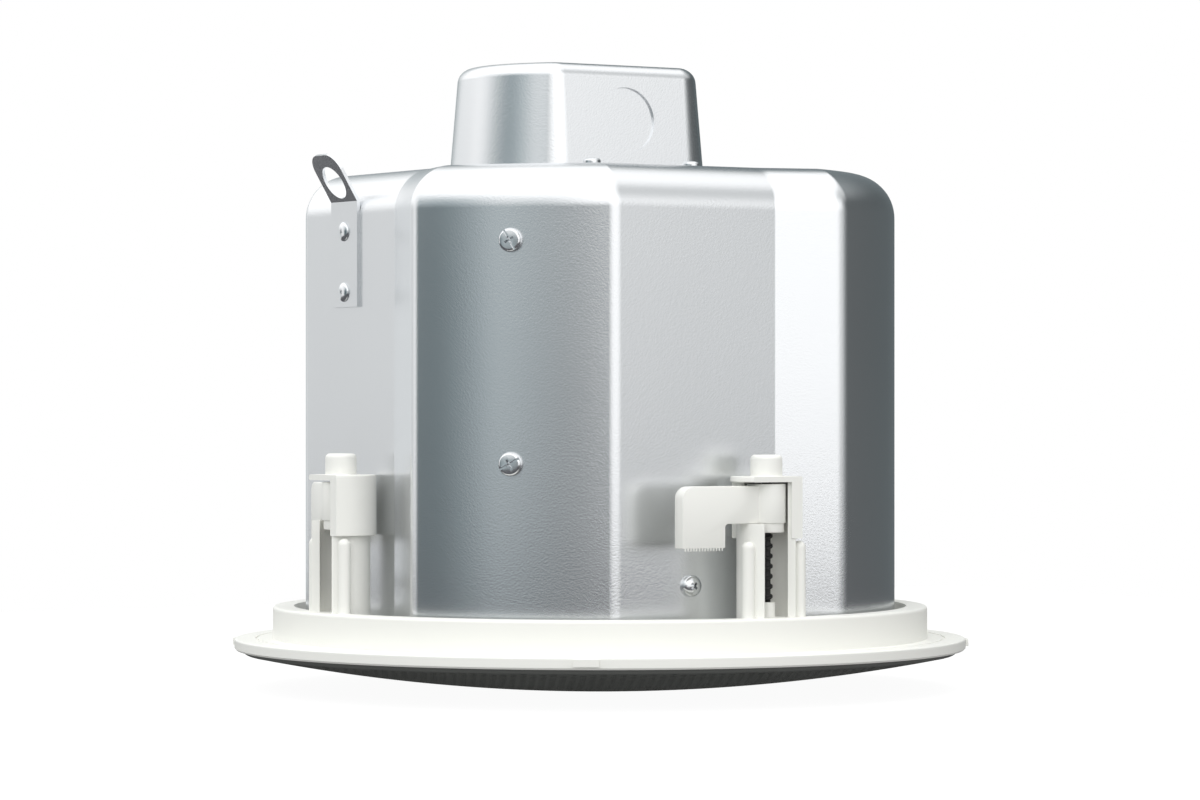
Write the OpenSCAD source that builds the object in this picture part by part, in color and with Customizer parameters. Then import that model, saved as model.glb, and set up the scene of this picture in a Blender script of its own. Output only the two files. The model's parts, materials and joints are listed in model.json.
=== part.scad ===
// In-ceiling loudspeaker: a moulded bezel with four swing clamps, a drawn steel back can
// with a pinwheel plan, and a two-way drive unit behind a domed grille.
// The origin is the centre of the flange's ceiling face. +Z points up into the ceiling.
// Clamp 1 stands on the -Y side, and the others follow every quarter turn towards +X.

/* [Bezel] */
// Radius of the neck that passes through the hole in the ceiling
neck_r = 113.3; // [110:0.1:118]
// Height of the neck above the flange
neck_h = 11.1; // [9:0.1:14]
// Width of the flat land on top of the neck
neck_w = 7.3; // [7:0.1:8]
// Radius on the outer top edge of the neck
neck_edge_r = 1; // [0.4:0.1:1.5]
// How far the flange reaches out past the neck
flange_lap = 13.2; // [11:0.1:16]
// Height of the flange's rim
rim_h = 3.9; // [3.4:0.1:5]
// Thickness of the flange's rim
rim_t = 2.4; // [2:0.1:3]
// Thickness of the moulded walls of the neck
mould_t = 2.3; // [2:0.1:2.4]
// Thickness of the flange plate
flange_t = 2.2; // [1.8:0.1:2.4]
// Thickness of the deck that carries the drive unit
deck_t = 2.5; // [2.2:0.1:3]
// Radius of the shallow ring groove, measured out from the neck
groove_out = 5.3; // [4:0.1:7]
// Width of the ring groove
groove_w = 0.8; // [0.5:0.1:1.2]
// Depth of the ring groove
groove_d = 0.4; // [0.2:0.1:0.6]
// Number of webs inside the hollow neck
web_count = 24; // [12:4:36]
// Thickness of a web
web_t = 1.6; // [1.2:0.1:2]
// Width of a lug on the rim
lug_w = 8.3; // [6:0.1:10]
// Height of a lug
lug_h = 2.4; // [1.8:0.1:2.8]
// How far a lug stands out of the rim
lug_out = 0.9; // [0.5:0.1:1.2]
// Direction of the first lug, in degrees from -Y towards +X
lug_turn = -34.1; // [-45:0.1:-20]

/* [Grille] */
// Depth of the grille's dome below the rim
dome_depth = 13.9; // [12:0.1:16]
// Thickness of the grille's sheet
grille_t = 0.9; // [0.7:0.1:1.2]
// Gap between the grille's edge and the rim
grille_gap = 0.5; // [0.3:0.1:0.8]
// Radius of the holes
grille_hole_r = 6; // [3:0.1:7]
// Distance from hole to hole
grille_pitch = 20; // [18:0.5:26]
// Width of the plain border
grille_border = 7; // [7:0.1:10]

/* [Back can] */
// Height of the can's top above the flange
can_top = 159.2; // [150:0.1:175]
// Thickness of the can's sheet
can_t = 1.2; // [0.8:0.1:1.6]
// Gap between the can's round faces and the neck
can_gap = 4; // [3:0.1:5]
// Radius of the bend round the can's top
can_bend_r = 15; // [12:0.1:18]
// Radius of the can's upright edges
can_edge_r = 8.5; // [6:0.1:10]
// Radius in the hollow corner at each step
can_hollow_r = 2; // [1:0.1:4]
// Where the step begins, sideways from the clamp
step_start = 12.7; // [10:0.1:15]
// Angle between the step face and the flat face
step_turn = 15.6; // [13:0.1:18]
// Thickness of the foam gasket under the can
gasket_t = 1.2; // [0.8:0.1:2]

/* [Clamps] */
// Outer radius of a clamp tower
tower_r = 9.8; // [9.4:0.1:10.4]
// Inner radius of a clamp tower
tower_in_r = 7.2; // [6.9:0.1:7.4]
// Gap between a tower and the outside of the neck
tower_edge = 1.1; // [0.8:0.1:1.6]
// Gap between a tower and the can's flat face
tower_gap = 3.6; // [2.5:0.1:4.5]
// Height at which the cap's skirt begins
skirt_z = 36.8; // [34:0.1:38]
// Underside of the clamp arm
arm_z = 42.1; // [40.5:0.1:44]
// Depth of the clamp arm's beam
arm_h = 12.4; // [11:0.1:13]
// Height of the arm's foot below the beam
foot_drop = 8.2; // [6:0.1:9]
// Reach of the arm from the screw to its tip
arm_reach = 35; // [32:0.1:35.5]
// Angle by which the parked arms of clamps 2 to 4 lean in towards the can
arm_lean = 19; // [0:0.5:19]
// Length of the arm's serrated foot
foot_len = 16.1; // [14:0.1:18]
// Thickness of the arm
arm_t = 5; // [4:0.1:5.4]
// How far the arm's outer face stands out from the screw's axis
arm_face = 3.5; // [3:0.1:3.8]
// Radius of the arm's hub
hub_r = 6; // [5.2:0.1:6.2]
// Pitch of the teeth under the foot
tooth_pitch = 1.1; // [1:0.05:1.6]
// Depth of the teeth
tooth_h = 0.6; // [0.3:0.1:0.7]
// Radius of the cap's disc
cap_r = 11.6; // [11.2:0.1:12.4]
// Thickness of the cap's disc
cap_t = 2.1; // [1.8:0.1:2.8]
// Height of the cap's round knob above its disc
knob_h = 6.9; // [5:0.1:9]
// Radius of the knob
knob_r = 5.1; // [4:0.1:6]
// Radius of the clamp screw over its thread
screw_r = 2.08; // [1.9:0.01:2.2]
// Running clearance round the clamp screw
screw_gap = 0.07; // [0.04:0.01:0.1]
// Radius of the screw's guide boss
boss_r = 2.85; // [2.7:0.05:3.4]
// Height of the guide boss above the neck
boss_h = 4.9; // [3:0.1:8]
// Radius of the ribs on a tower
rib_r = 2.1; // [1.4:0.1:2.2]

/* [Terminal cover] */
// Distance of the cover's centre towards -X
cover_x = 13.5; // [8:0.1:18]
// Distance of the cover's centre towards -Y
cover_y = 6.3; // [2:0.1:9]
// Radius of the cover's round side at its foot
cover_r = 43.6; // [40:0.1:48]
// Distance from the cover's centre to its flat side
cover_flat = 31.9; // [29:0.1:35]
// Height of the cover
cover_h = 36.5; // [32:0.1:42]
// Thickness of the cover's sheet
cover_t = 1; // [0.8:0.1:1.4]
// Radius of the cover's upright corners
cover_edge_r = 6; // [5:0.1:8]
// Radius of the cover's top bend
cover_bend_r = 5; // [3:0.1:7]
// Draft of the cover's wall in degrees
cover_draft = 4.8; // [3:0.1:6]
// Diameter of the round knockout
knockout_d = 22.2; // [18:0.1:24]
// Height of the knockout's centre above the can
knockout_z = 17.6; // [15:0.1:20]
// Distance between the two screws in front of the cover
cover_screws = 40; // [30:0.1:48]
// Reach of the cover's foot
cover_foot = 16; // [12:0.1:20]

/* [Seismic tab] */
// Width of the tab
tab_w = 16.5; // [15:0.1:19]
// Thickness of the tab's sheet
tab_t = 1.4; // [1:0.1:2]
// Bottom end of the tab
tab_z = 113.7; // [108:0.1:116]
// Length of the tab's upright strap up to the bend
strap_len = 36.1; // [34:0.1:40]
// Length of the bent leaf
leaf_len = 17.3; // [16:0.1:20]
// Angle of the leaf from upright
leaf_turn = 28.6; // [20:0.1:40]
// Radius of the hole in the leaf
leaf_hole_r = 6.1; // [5:0.1:6.4]
// Distance of the hole's centre from the bend
leaf_hole_up = 7.6; // [7:0.1:9]
// Place of the tab across the can's flat face
tab_side = -18.2; // [-22:0.1:-15]

/* [Drive unit] */
// Depth of the woofer's frame behind the deck
frame_depth = 33; // [30:0.1:38]
// Thickness of the frame's sheet
frame_t = 1.5; // [1.2:0.1:2]
// Radius of the magnet
magnet_r = 47.5; // [40:0.1:52]
// Thickness of the magnet
magnet_h = 17; // [14:0.1:20]
// Thickness of the iron plates
plate_h = 5; // [4:0.1:6]
// Radius of the pole piece
pole_r = 14.2; // [13:0.1:15]
// Width of the magnetic gap
gap_w = 2.1; // [1.9:0.1:2.6]
// Radius of the tweeter's housing
tweeter_r = 19; // [16:0.1:21]
// Height of the tweeter's housing
tweeter_h = 10; // [8:0.1:11]
// Radius of the post that carries the tweeter
post_r = 4.8; // [4:0.1:5.2]

/* [Transformer] */
// Direction of the transformer, in degrees from -Y towards +X
trans_turn = -48.6; // [-51:0.1:-46]
// Height of the transformer's centre
trans_z = 97.7; // [92:0.1:106]
// Distance between the transformer's screws
trans_screws = 72.8; // [70:0.1:78]
// Length of the iron core, upright
core_len = 57; // [54:0.1:60]
// Depth of the iron core, across the can
core_deep = 47.5; // [44:0.1:48]
// Thickness of the core's stack
core_stack = 20; // [16:0.1:22]
// Width of the core's outer legs
core_leg = 9.5; // [9:0.1:10]

/* [Hidden] */

$fn = 72;
clamp_count = 4;
quarter = 360 / clamp_count;
// Overlap of joined solids and overshoot of cuts
lap = 0.5;
// Gap between pieces that are only laid against each other
seat = 0.1;

// Bezel
flange_r = neck_r + flange_lap;
neck_in_r = neck_r - neck_w;
rim_in_r = flange_r - rim_t;
groove_r = neck_r + groove_out;
rim_edge_r = 0.6;
clamp_r = neck_r - tower_edge - tower_r;

// Back can
can_r = neck_in_r - can_gap;
can_flat = clamp_r - tower_r - tower_gap;
can_bottom = gasket_t;
bend_z = can_top - can_bend_r;
can_in_top = can_top - can_t;
can_in_flat = can_flat - can_t;
step_corner = [step_start, -can_flat];
step_reach = step_corner * [sin(-step_turn), -cos(-step_turn)];
// Smallest radius that an upright edge keeps where the top bend runs into it
edge_min_r = 1;
edge_steps = 6;
hollow_steps = 2;
round_steps = 8;
bend_steps = 8;

// Can screws and the bezel's posts behind them
foot_screw_side = -20.8;
foot_screw_z = 21.2;
foot_head_r = 3.45;
foot_head_h = 2.1;
foot_shank_r = 1.75;
foot_shank_len = 9;
screw_hole_gap = 0.25;
grip_gap = 0.05;
post_w = 15;
post_t = 3.5;
post_top = foot_screw_z + 7.5;
post_gap = 0.25;
post_face = can_in_flat - post_gap;
post_boss_r = 4;
post_boss_len = 4;

// Drive unit
frame_r = post_face - post_t - 1.2;
screw_ring_r = frame_r - 4.5;
cutout_r = frame_r - 8;
upstand_t = 2.5;
upstand_h = 5;
basket_r = cutout_r - 2;
basket_top_r = magnet_r - 1.5;
frame_z = -deck_t - frame_t;
basket_top = frame_depth;
plate_z = basket_top + frame_t;
magnet_z = plate_z + plate_h;
back_z = magnet_z + magnet_h;
plate_r = magnet_r - 6.5;
plate_hole_r = pole_r + gap_w;
magnet_hole_r = plate_hole_r + 6;
former_in_r = pole_r + 0.5;
former_t = 0.5;
former_r = former_in_r + former_t;
winding_t = 0.6;
former_below = 6;
pole_out = 0.5;
pole_bore_out = 2;
winding_len = plate_h + 4;
drive_screw_r = 1.75;
drive_head_r = 3.6;
drive_head_h = 2.1;
drive_boss_r = 4;
drive_boss_h = 9;
window_count = 6;
window_share = 0.62;
roll_r = 5.2;
land_w = 3.4;
land_t = 0.5;
surround_t = 0.7;
roll_mid_r = basket_r - land_w / 2 - roll_r;
cone_r = roll_mid_r - roll_r;
cone_t = 0.8;
// Share of its depth by which the cone bows
cone_bow = 0.18;
spider_z = frame_depth * 0.75;
neck_joint_z = spider_z - 4;
spider_land = 7;
spider_t = 0.5;
spider_wave = 0.9;
spider_waves = 5;
basket_slope = (basket_r - basket_top_r) / (basket_top + deck_t);
basket_at_spider = basket_r - basket_slope * (spider_z + deck_t);
spider_r = basket_at_spider - 2.2;

// Tweeter
tweeter_z = -3;
tweeter_wall = 1.6;
tweeter_low = tweeter_z - tweeter_h;
tweeter_bevel = 2;
tweeter_flare_h = 2.2;
dome_r = tweeter_r * 0.66;
silk_t = 0.6;
silk_rise = dome_r * 0.35;
silk_z = tweeter_low + 3.4;
tweeter_magnet_h = 3.4;
tweeter_magnet_edge = 1;

// Grille
grille_r = rim_in_r - grille_gap;
grille_low = -rim_h - dome_depth;
grille_edge_z = -rim_h - 0.3;
grille_rise = grille_edge_z - grille_low;
dome_ball_r = (grille_r * grille_r + grille_rise * grille_rise) / (2 * grille_rise);
grille_seat_z = -flange_t - seat;
row_gap = grille_pitch * sin(60);

// Clamps
arm_top = arm_z + arm_h;
arm_gap = 0.3;
tower_cut_z = arm_z - arm_gap;
cap_z = arm_top + 0.9;
cap_top = cap_z + cap_t;
knob_top = cap_top + knob_h;
spigot_r = cap_r - 3.05;
skirt_gap = 0.2;
skirt_in_r = spigot_r + skirt_gap;
skirt_from = -128;
skirt_to = 48.5;
slot_from = 47;
slot_to = 128;
swing_to = 196 + arm_lean;
rib_turn = 67;
rib_out = tower_r + 1.2;
rib_top = skirt_z - rib_r - 0.8;
collar_r = hub_r - 0.4;
collar_h = 3.1;
screw_bore_r = screw_r + screw_gap;
head_seat = 3;
clamp_head_r = 4;
clamp_head_h = 2.6;
head_gap = 0.2;
head_room_r = clamp_head_r + 1;
screw_end = cap_top + knob_h * 0.55;
bore_end = screw_end + 1;
cap_edge_r = 0.5;
knob_edge_r = 1.2;
cap_reach = neck_r - 0.3;

// Terminal cover
cover_at = [-cover_x, -cover_y];
cover_top = can_top + cover_h;
cover_steps = 6;
cover_round_steps = 36;
cover_front = -cover_y - cover_flat;
foot_t = 1.2;
foot_w = cover_screws + 22;
cover_head_r = 2.6;
cover_head_h = 1.8;
cover_shank_r = 1.5;
cover_shank_len = 5;
cover_screw_out = 10.8;
rear_foot_w = 16;
knockout_groove = 0.5;

// Terminal block and grommet
block_w = 44;
block_deep = 16;
block_h = 8;
pole_count = 4;
fence_h = 4;
fence_t = 1.4;
terminal_step = (block_w - fence_t) / pole_count;
block_gap = 3;
block_y = cover_front + cover_t + block_gap + block_deep / 2;
terminal_head_r = 3.1;
terminal_head_h = 1.8;
terminal_shank_r = 1.5;
terminal_shank_len = 5;
terminal_floor = 2;
grommet_r = 7;
grommet_wall = 2.5;
grommet_lip = 2;
grommet_lip_t = 2;
grommet_fit = 0.05;
grommet_y = 10;

// Seismic tab
strap_top = tab_z + strap_len;
tab_tip_r = 5;
tab_head_r = 3.3;
tab_head_h = 1.9;
tab_shank_r = 1.7;
tab_shank_len = 7;
tab_screw_low = 5.1;
tab_screw_step = 20.6;

// Transformer
bracket_t = 1.5;
bracket_w = core_stack - 1;
// The bracket is flat and the can is round, so the bracket's long edges touch the can
bracket_face = sqrt(pow(can_r - can_t, 2) - pow(bracket_w / 2, 2)) - seat;
core_face = bracket_face - bracket_t - seat;
bracket_len = trans_screws + 14;
trans_head_r = 3.75;
trans_head_h = 2.2;
trans_shank_r = 2;
trans_shank_len = 9;
centre_leg = core_leg * 2;
window_len = core_deep - core_leg * 2;
coil_gap = 0.4;
coil_out = 8;

// Crossover
board_at = [18, 22];
board_size = [90, 60];
board_t = 1.6;
board_z = bend_z - 4;
spacer_in = 6;
spacer_r = 3;
spacer_bore_r = 1.6;
choke_r = 13;
choke_h = 14;
can_cap_r = 6.5;
can_cap_len = 26;
part_gap = 6;
choke_at = board_at + [board_size.x / 2 - part_gap - choke_r, board_size.y / 2 - part_gap - choke_r];
cap_end_x = board_at.x - board_size.x / 2 + part_gap + spacer_r;

// Felt
felt_t = 6;
felt_z = 46;
felt_h = 80;
felt_from = 4;
felt_to = 176;

// Direction t degrees from -Y towards +X, as a point on the unit circle
function heading(t) = [sin(t), -cos(t)];

// A point turned by t degrees about the axis
function turned(p, t) = [p.x * cos(t) - p.y * sin(t), p.x * sin(t) + p.y * cos(t)];

// Arc of steps + 1 points about c, between two headings
function arc(c, r, t0, t1, steps) = [for (i = [0:steps]) c + r * heading(t0 + (t1 - t0) * i / steps)];

// Where a wall at distance m under heading t meets a circle of radius big, as a rounded corner.
// Side is -1 for the corner before the wall and 1 for the one after it.
function corner(m, big, r, t, side, steps) =
    let (
        lean = acos((m - r) / (big - r)) * side,
        c = (big - r) * heading(t + lean))
    side < 0 ? arc(c, r, t + lean, t, steps) : arc(c, r, t, t + lean, steps);

// Where two walls, each at its distance under its heading, cross
function crossing(m1, t1, m2, t2) =
    [cos(t1) * m2 - cos(t2) * m1, sin(t1) * m2 - sin(t2) * m1] / sin(t2 - t1);

// Quarter of the can's outline, drawn inwards by d: edge, flat face, hollow corner,
// step face, edge, round face
function can_quarter(d) =
    let (
        r = max(can_edge_r - d, edge_min_r),
        big = can_r - d,
        flat_edge = corner(can_flat - d, big, r, 0, -1, edge_steps),
        step_edge = corner(step_reach - d, big, r, -step_turn, 1, edge_steps),
        hollow = crossing(can_flat + can_hollow_r, 0, step_reach + can_hollow_r, -step_turn),
        t0 = -step_turn + acos((step_reach - d - r) / (big - r)),
        t1 = quarter - acos((can_flat - d - r) / (big - r)))
    concat(
        flat_edge,
        [for (i = [0:hollow_steps])
            hollow - (can_hollow_r + d) * heading(-step_turn * i / hollow_steps)],
        step_edge,
        [for (i = [1:round_steps - 1]) big * heading(t0 + (t1 - t0) * i / round_steps)]);

// Whole outline of the can, drawn inwards by d
function can_ring(d) = [for (k = [0:clamp_count - 1]) for (p = can_quarter(d)) turned(p, k * quarter)];

// Outline of the terminal cover, drawn inwards by d
function cover_ring(d) =
    let (
        r = max(cover_edge_r - d, edge_min_r),
        big = cover_r - d,
        m = cover_flat - d,
        t0 = acos((m - r) / (big - r)))
    [for (p = concat(
        corner(m, big, r, 0, -1, edge_steps),
        corner(m, big, r, 0, 1, edge_steps),
        [for (i = [1:cover_round_steps - 1])
            big * heading(t0 + (360 - 2 * t0) * i / cover_round_steps)])) p + cover_at];

function lifted(ring, z) = [for (p = ring) [p.x, p.y, z]];

// Rings of the can's skin that lies t under its outside
function can_rings(t, bottom) = concat(
    [lifted(can_ring(t), bottom)],
    [for (i = [0:bend_steps])
        let (turn = 90 * i / bend_steps, r = can_bend_r - t)
        lifted(can_ring(t + r * (1 - cos(turn))), bend_z + r * sin(turn))]);

// Rings of the cover's skin that lies t under its outside
function cover_rings(t, bottom) =
    let (
        r = cover_bend_r - t,
        bend_from = cover_top - cover_bend_r + r * sin(cover_draft),
        inset = t + (bend_from - can_top) * tan(cover_draft))
    concat(
        [lifted(cover_ring(t + (bottom - can_top) * tan(cover_draft)), bottom)],
        [for (i = [0:cover_steps])
            let (turn = cover_draft + (90 - cover_draft) * i / cover_steps)
            lifted(
                cover_ring(inset + r * (cos(cover_draft) - cos(turn))),
                cover_top - cover_bend_r + r * sin(turn))]);

// Thin shell between two stacks of rings, open at the bottom and closed at the top
module shell(outer, inner) {
    n = len(outer[0]);
    rings = concat(outer, [for (i = [len(inner) - 1:-1:0]) inner[i]]);
    count = len(rings);
    top = len(outer) - 1;
    sides = [
        for (k = [0:count - 1])
            if (k != top)
                for (i = [0:n - 1])
                    let (
                        j = (i + 1) % n,
                        a = k * n,
                        b = ((k + 1) % count) * n)
                    [a + i, b + i, b + j, a + j]];
    roof = [for (i = [n - 1:-1:0]) top * n + i];
    ceiling = [for (i = [0:n - 1]) (top + 1) * n + i];
    polyhedron([for (ring = rings) each ring], concat(sides, [roof, ceiling]), convexity = 6);
}

// A ring from z0 up to z1
module tube(r_out, r_in, z0, z1) {
    translate([0, 0, z0]) difference() {
        cylinder(r = r_out, h = z1 - z0);
        translate([0, 0, -lap]) cylinder(r = r_in, h = z1 - z0 + 2 * lap);
    }
}

// Direction phi degrees about a clamp's own axis, from sideways to outwards
function spoke(r, phi) = [r * cos(phi), -r * sin(phi)];

// Upright wedge of a clamp, from one direction to another
module wedge(r, phi0, phi1, z0, z1) {
    steps = ceil((phi1 - phi0) / 30);
    translate([0, 0, z0]) linear_extrude(z1 - z0)
        polygon(concat([[0, 0]], [for (i = [0:steps]) spoke(r, phi0 + (phi1 - phi0) * i / steps)]));
}

// Moves its children to clamp k's own axis
module at_clamp(k) {
    rotate([0, 0, (k - 1) * quarter]) translate([0, -clamp_r, 0]) children();
}

// Moves its children to the can's flat face of clamp k, where +Z then points outwards
module on_face(k, side, z, out) {
    rotate([0, 0, (k - 1) * quarter]) translate([side, -out, z]) rotate([90, 0, 0]) children();
}

// Screw with a domed head above z = 0 and a shank below it
module pan_screw(head_r, head_h, shank_r, shank_len) {
    cross_w = head_r * 0.26;
    cross_len = head_r * 1.1;
    crown = [for (i = [0:6]) [head_r * cos(15 * i), head_h * (0.35 + 0.65 * sin(15 * i))]];
    difference() {
        union() {
            rotate_extrude() polygon(concat([[0, 0], [head_r, 0]], crown));
            translate([0, 0, -shank_len]) cylinder(r = shank_r, h = shank_len + lap);
        }
        for (turn = [0, 90])
            rotate([0, 0, turn])
                translate([-cross_len / 2, -cross_w / 2, head_h * 0.45])
                    cube([cross_len, cross_w, head_h]);
    }
}

// Moulded bezel: flange, hollow neck, deck, clamp towers and the posts that hold the can
module baffle() {
    arc_steps = 4;
    neck_arc = [for (i = [0:arc_steps])
        let (turn = 90 * i / arc_steps)
        [neck_r - neck_edge_r * (1 - sin(turn)), neck_h - neck_edge_r * (1 - cos(turn))]];
    rim_arc = [for (i = [0:arc_steps])
        let (turn = 90 * i / arc_steps)
        [flange_r - rim_edge_r * (1 - sin(turn)), -rim_edge_r * (1 - cos(turn))]];
    section = concat(
        [[cutout_r, -deck_t], [cutout_r, upstand_h], [cutout_r + upstand_t, upstand_h],
            [cutout_r + upstand_t, 0], [neck_in_r, 0], [neck_in_r, neck_h]],
        neck_arc,
        [[neck_r, 0], [groove_r, 0], [groove_r, -groove_d], [groove_r + groove_w, -groove_d],
            [groove_r + groove_w, 0]],
        rim_arc,
        [[flange_r, -rim_h + rim_edge_r], [flange_r - rim_edge_r, -rim_h], [rim_in_r, -rim_h],
            [rim_in_r, -flange_t], [neck_r - mould_t, -flange_t], [neck_r - mould_t, neck_h - mould_t],
            [neck_in_r + mould_t, neck_h - mould_t], [neck_in_r + mould_t, -deck_t]]);
    color([0.95, 0.95, 0.92]) difference() {
        union() {
            rotate_extrude($fn = 180) polygon(section);
            neck_webs();
            for (k = [1:clamp_count]) {
                rotate([0, 0, lug_turn + k * quarter]) rim_lug();
                rotate([0, 0, 45 + k * quarter]) drive_boss();
                rotate([0, 0, (k - 1) * quarter]) can_post();
                at_clamp(k) tower();
            }
        }
        for (k = [1:clamp_count]) {
            at_clamp(k) tower_bores();
            on_face(k, foot_screw_side, foot_screw_z, can_flat)
                translate([0, 0, -foot_shank_len * 3])
                    cylinder(r = foot_shank_r + grip_gap, h = foot_shank_len * 3, $fn = 32);
            rotate([0, 0, 45 + k * quarter])
                translate([0, -screw_ring_r, -deck_t - lap])
                    cylinder(r = drive_screw_r + grip_gap, h = deck_t + drive_boss_h + 2 * lap, $fn = 32);
        }
    }
}

module neck_webs() {
    inside = neck_in_r + mould_t;
    outside = neck_r - mould_t;
    for (i = [0:web_count - 1])
        rotate([0, 0, 360 / web_count * (i + 0.5)])
            translate([-web_t / 2, -outside - lap, 0])
                cube([web_t, outside - inside + 2 * lap, neck_h - mould_t + lap]);
}

module rim_lug() {
    translate([-lug_w / 2, -flange_r - lug_out, -lug_h - lap]) cube([lug_w, lug_out + 1, lug_h]);
}

module drive_boss() {
    translate([0, -screw_ring_r, -lap]) cylinder(r = drive_boss_r, h = drive_boss_h + lap, $fn = 48);
}

// Post inside the can that takes the can's screw
module can_post() {
    translate([foot_screw_side - post_w / 2, -post_face, -lap]) cube([post_w, post_t, post_top + lap]);
    translate([foot_screw_side, -post_face + post_t - lap, foot_screw_z])
        rotate([-90, 0, 0])
            cylinder(r = post_boss_r, h = post_boss_len + lap, $fn = 48);
}

// Clamp tower: a slotted tube with a spigot for the cap and a guide boss for the screw
module tower() {
    difference() {
        union() {
            cylinder(r = tower_r, h = tower_cut_z);
            cylinder(r = spigot_r, h = cap_z - seat);
            for (turn = [90 - rib_turn, 90 + rib_turn])
                translate(spoke(rib_out, turn)) {
                    cylinder(r = rib_r, h = rib_top, $fn = 32);
                    translate([0, 0, rib_top]) sphere(r = rib_r, $fn = 32);
                }
        }
        translate([0, 0, neck_h]) cylinder(r = tower_in_r, h = cap_z);
        wedge(3 * tower_r, slot_from, slot_to, neck_h, cap_z + lap);
        wedge(3 * tower_r, slot_from, swing_to, tower_cut_z, cap_z + lap);
        difference() {
            wedge(3 * tower_r, skirt_from - 3, skirt_to + 2, skirt_z - seat, cap_z + lap);
            cylinder(r = spigot_r, h = cap_z + 2 * lap);
        }
    }
    cylinder(r = boss_r, h = neck_h + boss_h, $fn = 48);
}

module tower_bores() {
    translate([0, 0, -lap - deck_t]) cylinder(r = screw_bore_r, h = cap_z, $fn = 48);
    translate([0, 0, -lap - deck_t]) cylinder(r = head_room_r, h = head_seat + lap + deck_t, $fn = 48);
}

// Domed grille with a turned-up edge and staggered round holes
module grille() {
    ball_z = grille_low + dome_ball_r;
    reach = grille_r - grille_t - grille_border;
    rows = floor(reach / row_gap);
    color([0.24, 0.24, 0.23]) difference() {
        rotate_extrude($fn = 120) intersection() {
            translate([0, grille_low]) square([grille_r, grille_seat_z - grille_low]);
            difference() {
                translate([0, ball_z]) circle(r = dome_ball_r, $fn = 720);
                translate([0, ball_z]) intersection() {
                    circle(r = dome_ball_r - grille_t, $fn = 720);
                    translate([0, -dome_ball_r]) square([grille_r - grille_t, dome_ball_r]);
                }
            }
        }
        translate([0, 0, ball_z])
            for (row = [-rows:rows])
                let (
                    y = row * row_gap,
                    shift = abs(row) % 2 / 2,
                    side = sqrt(reach * reach - y * y),
                    first = ceil(-side / grille_pitch - shift),
                    last = floor(side / grille_pitch - shift))
                for (i = [first:last])
                    let (
                        x = (i + shift) * grille_pitch,
                        out = sqrt(x * x + y * y))
                    rotate([0, asin(out / dome_ball_r), atan2(-y, -x)])
                        translate([0, 0, -dome_ball_r - lap])
                            cylinder(r = grille_hole_r, h = grille_t + 2 * lap, $fn = 24);
    }
}

// Deep-drawn can with a pinwheel plan
module back_can() {
    color([0.72, 0.74, 0.76]) difference() {
        shell(can_rings(0, can_bottom), can_rings(can_t, can_bottom));
        for (k = [1:clamp_count])
            on_face(k, foot_screw_side, foot_screw_z, can_flat)
                sheet_hole(foot_shank_r + screw_hole_gap);
        for (z = tab_screw_heights())
            on_face(clamp_count, tab_side, z, can_flat) sheet_hole(tab_shank_r + screw_hole_gap);
        for (z = trans_screw_heights())
            at_transformer() translate([0, -can_r, z]) rotate([90, 0, 0])
                sheet_hole(trans_shank_r + screw_hole_gap);
        for (p = cover_screw_places())
            translate([p.x, p.y, can_top]) sheet_hole(cover_shank_r + screw_hole_gap);
        translate([-cover_x, grommet_y, can_top]) sheet_hole(grommet_r);
    }
}

// Cut through the can's sheet, along Z
module sheet_hole(r) {
    translate([0, 0, -can_t * 3]) cylinder(r = r, h = can_t * 5, $fn = 32);
}

// Foam gasket between the can and the deck
module can_gasket() {
    color([0.2, 0.2, 0.2]) linear_extrude(can_bottom) difference() {
        polygon(can_ring(-1));
        polygon(can_ring(can_t + seat));
    }
}

module can_screws() {
    color("silver") for (k = [1:clamp_count])
        on_face(k, foot_screw_side, foot_screw_z, can_flat)
            pan_screw(foot_head_r, foot_head_h, foot_shank_r, foot_shank_len);
}

// Felt that lines the side of the can across from the transformer
module damping_felt() {
    outer = can_t + 0.3;
    color([0.45, 0.45, 0.43]) translate([0, 0, felt_z]) linear_extrude(felt_h) intersection() {
        difference() {
            polygon(can_ring(outer));
            polygon(can_ring(outer + felt_t));
        }
        polygon(concat([[0, 0]], arc([0, 0], can_r * 1.5, felt_from, felt_to, 6)));
    }
}

// Screws in front of the cover, and the one behind it
function cover_screw_places() = [
    [-cover_x - cover_screws / 2, cover_front - cover_screw_out],
    [-cover_x + cover_screws / 2, cover_front - cover_screw_out],
    [-cover_x, cover_r - cover_y + cover_screw_out * 0.6]];

// D-shaped cover over the terminals, with a knockout in its flat side
module terminal_cover() {
    places = cover_screw_places();
    color([0.75, 0.77, 0.79]) difference() {
        union() {
            shell(cover_rings(0, can_top), cover_rings(cover_t, can_top));
            translate([-cover_x - foot_w / 2, cover_front - cover_foot, can_top])
                cube([foot_w, cover_foot + cover_t * 0.6, foot_t]);
            translate([-cover_x - rear_foot_w / 2, cover_r - cover_y - cover_t * 0.6, can_top])
                cube([rear_foot_w, cover_foot * 0.75, foot_t]);
        }
        for (p = places)
            translate([p.x, p.y, can_top - lap])
                cylinder(r = cover_shank_r + screw_hole_gap, h = foot_t + 2 * lap, $fn = 32);
        translate([-cover_x, cover_front, can_top])
            rotate([-cover_draft, 0, 0])
                translate([0, cover_t * 0.4, knockout_z])
                    rotate([90, 0, 0])
                        difference() {
                            cylinder(r = knockout_d / 2, h = 3 * cover_t);
                            translate([0, 0, -lap])
                                cylinder(r = knockout_d / 2 - knockout_groove, h = 4 * cover_t);
                        }
    }
}

module terminal_cover_screws() {
    color("silver") for (p = cover_screw_places())
        translate([p.x, p.y, can_top + foot_t])
            pan_screw(cover_head_r, cover_head_h, cover_shank_r, cover_shank_len);
}

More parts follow.
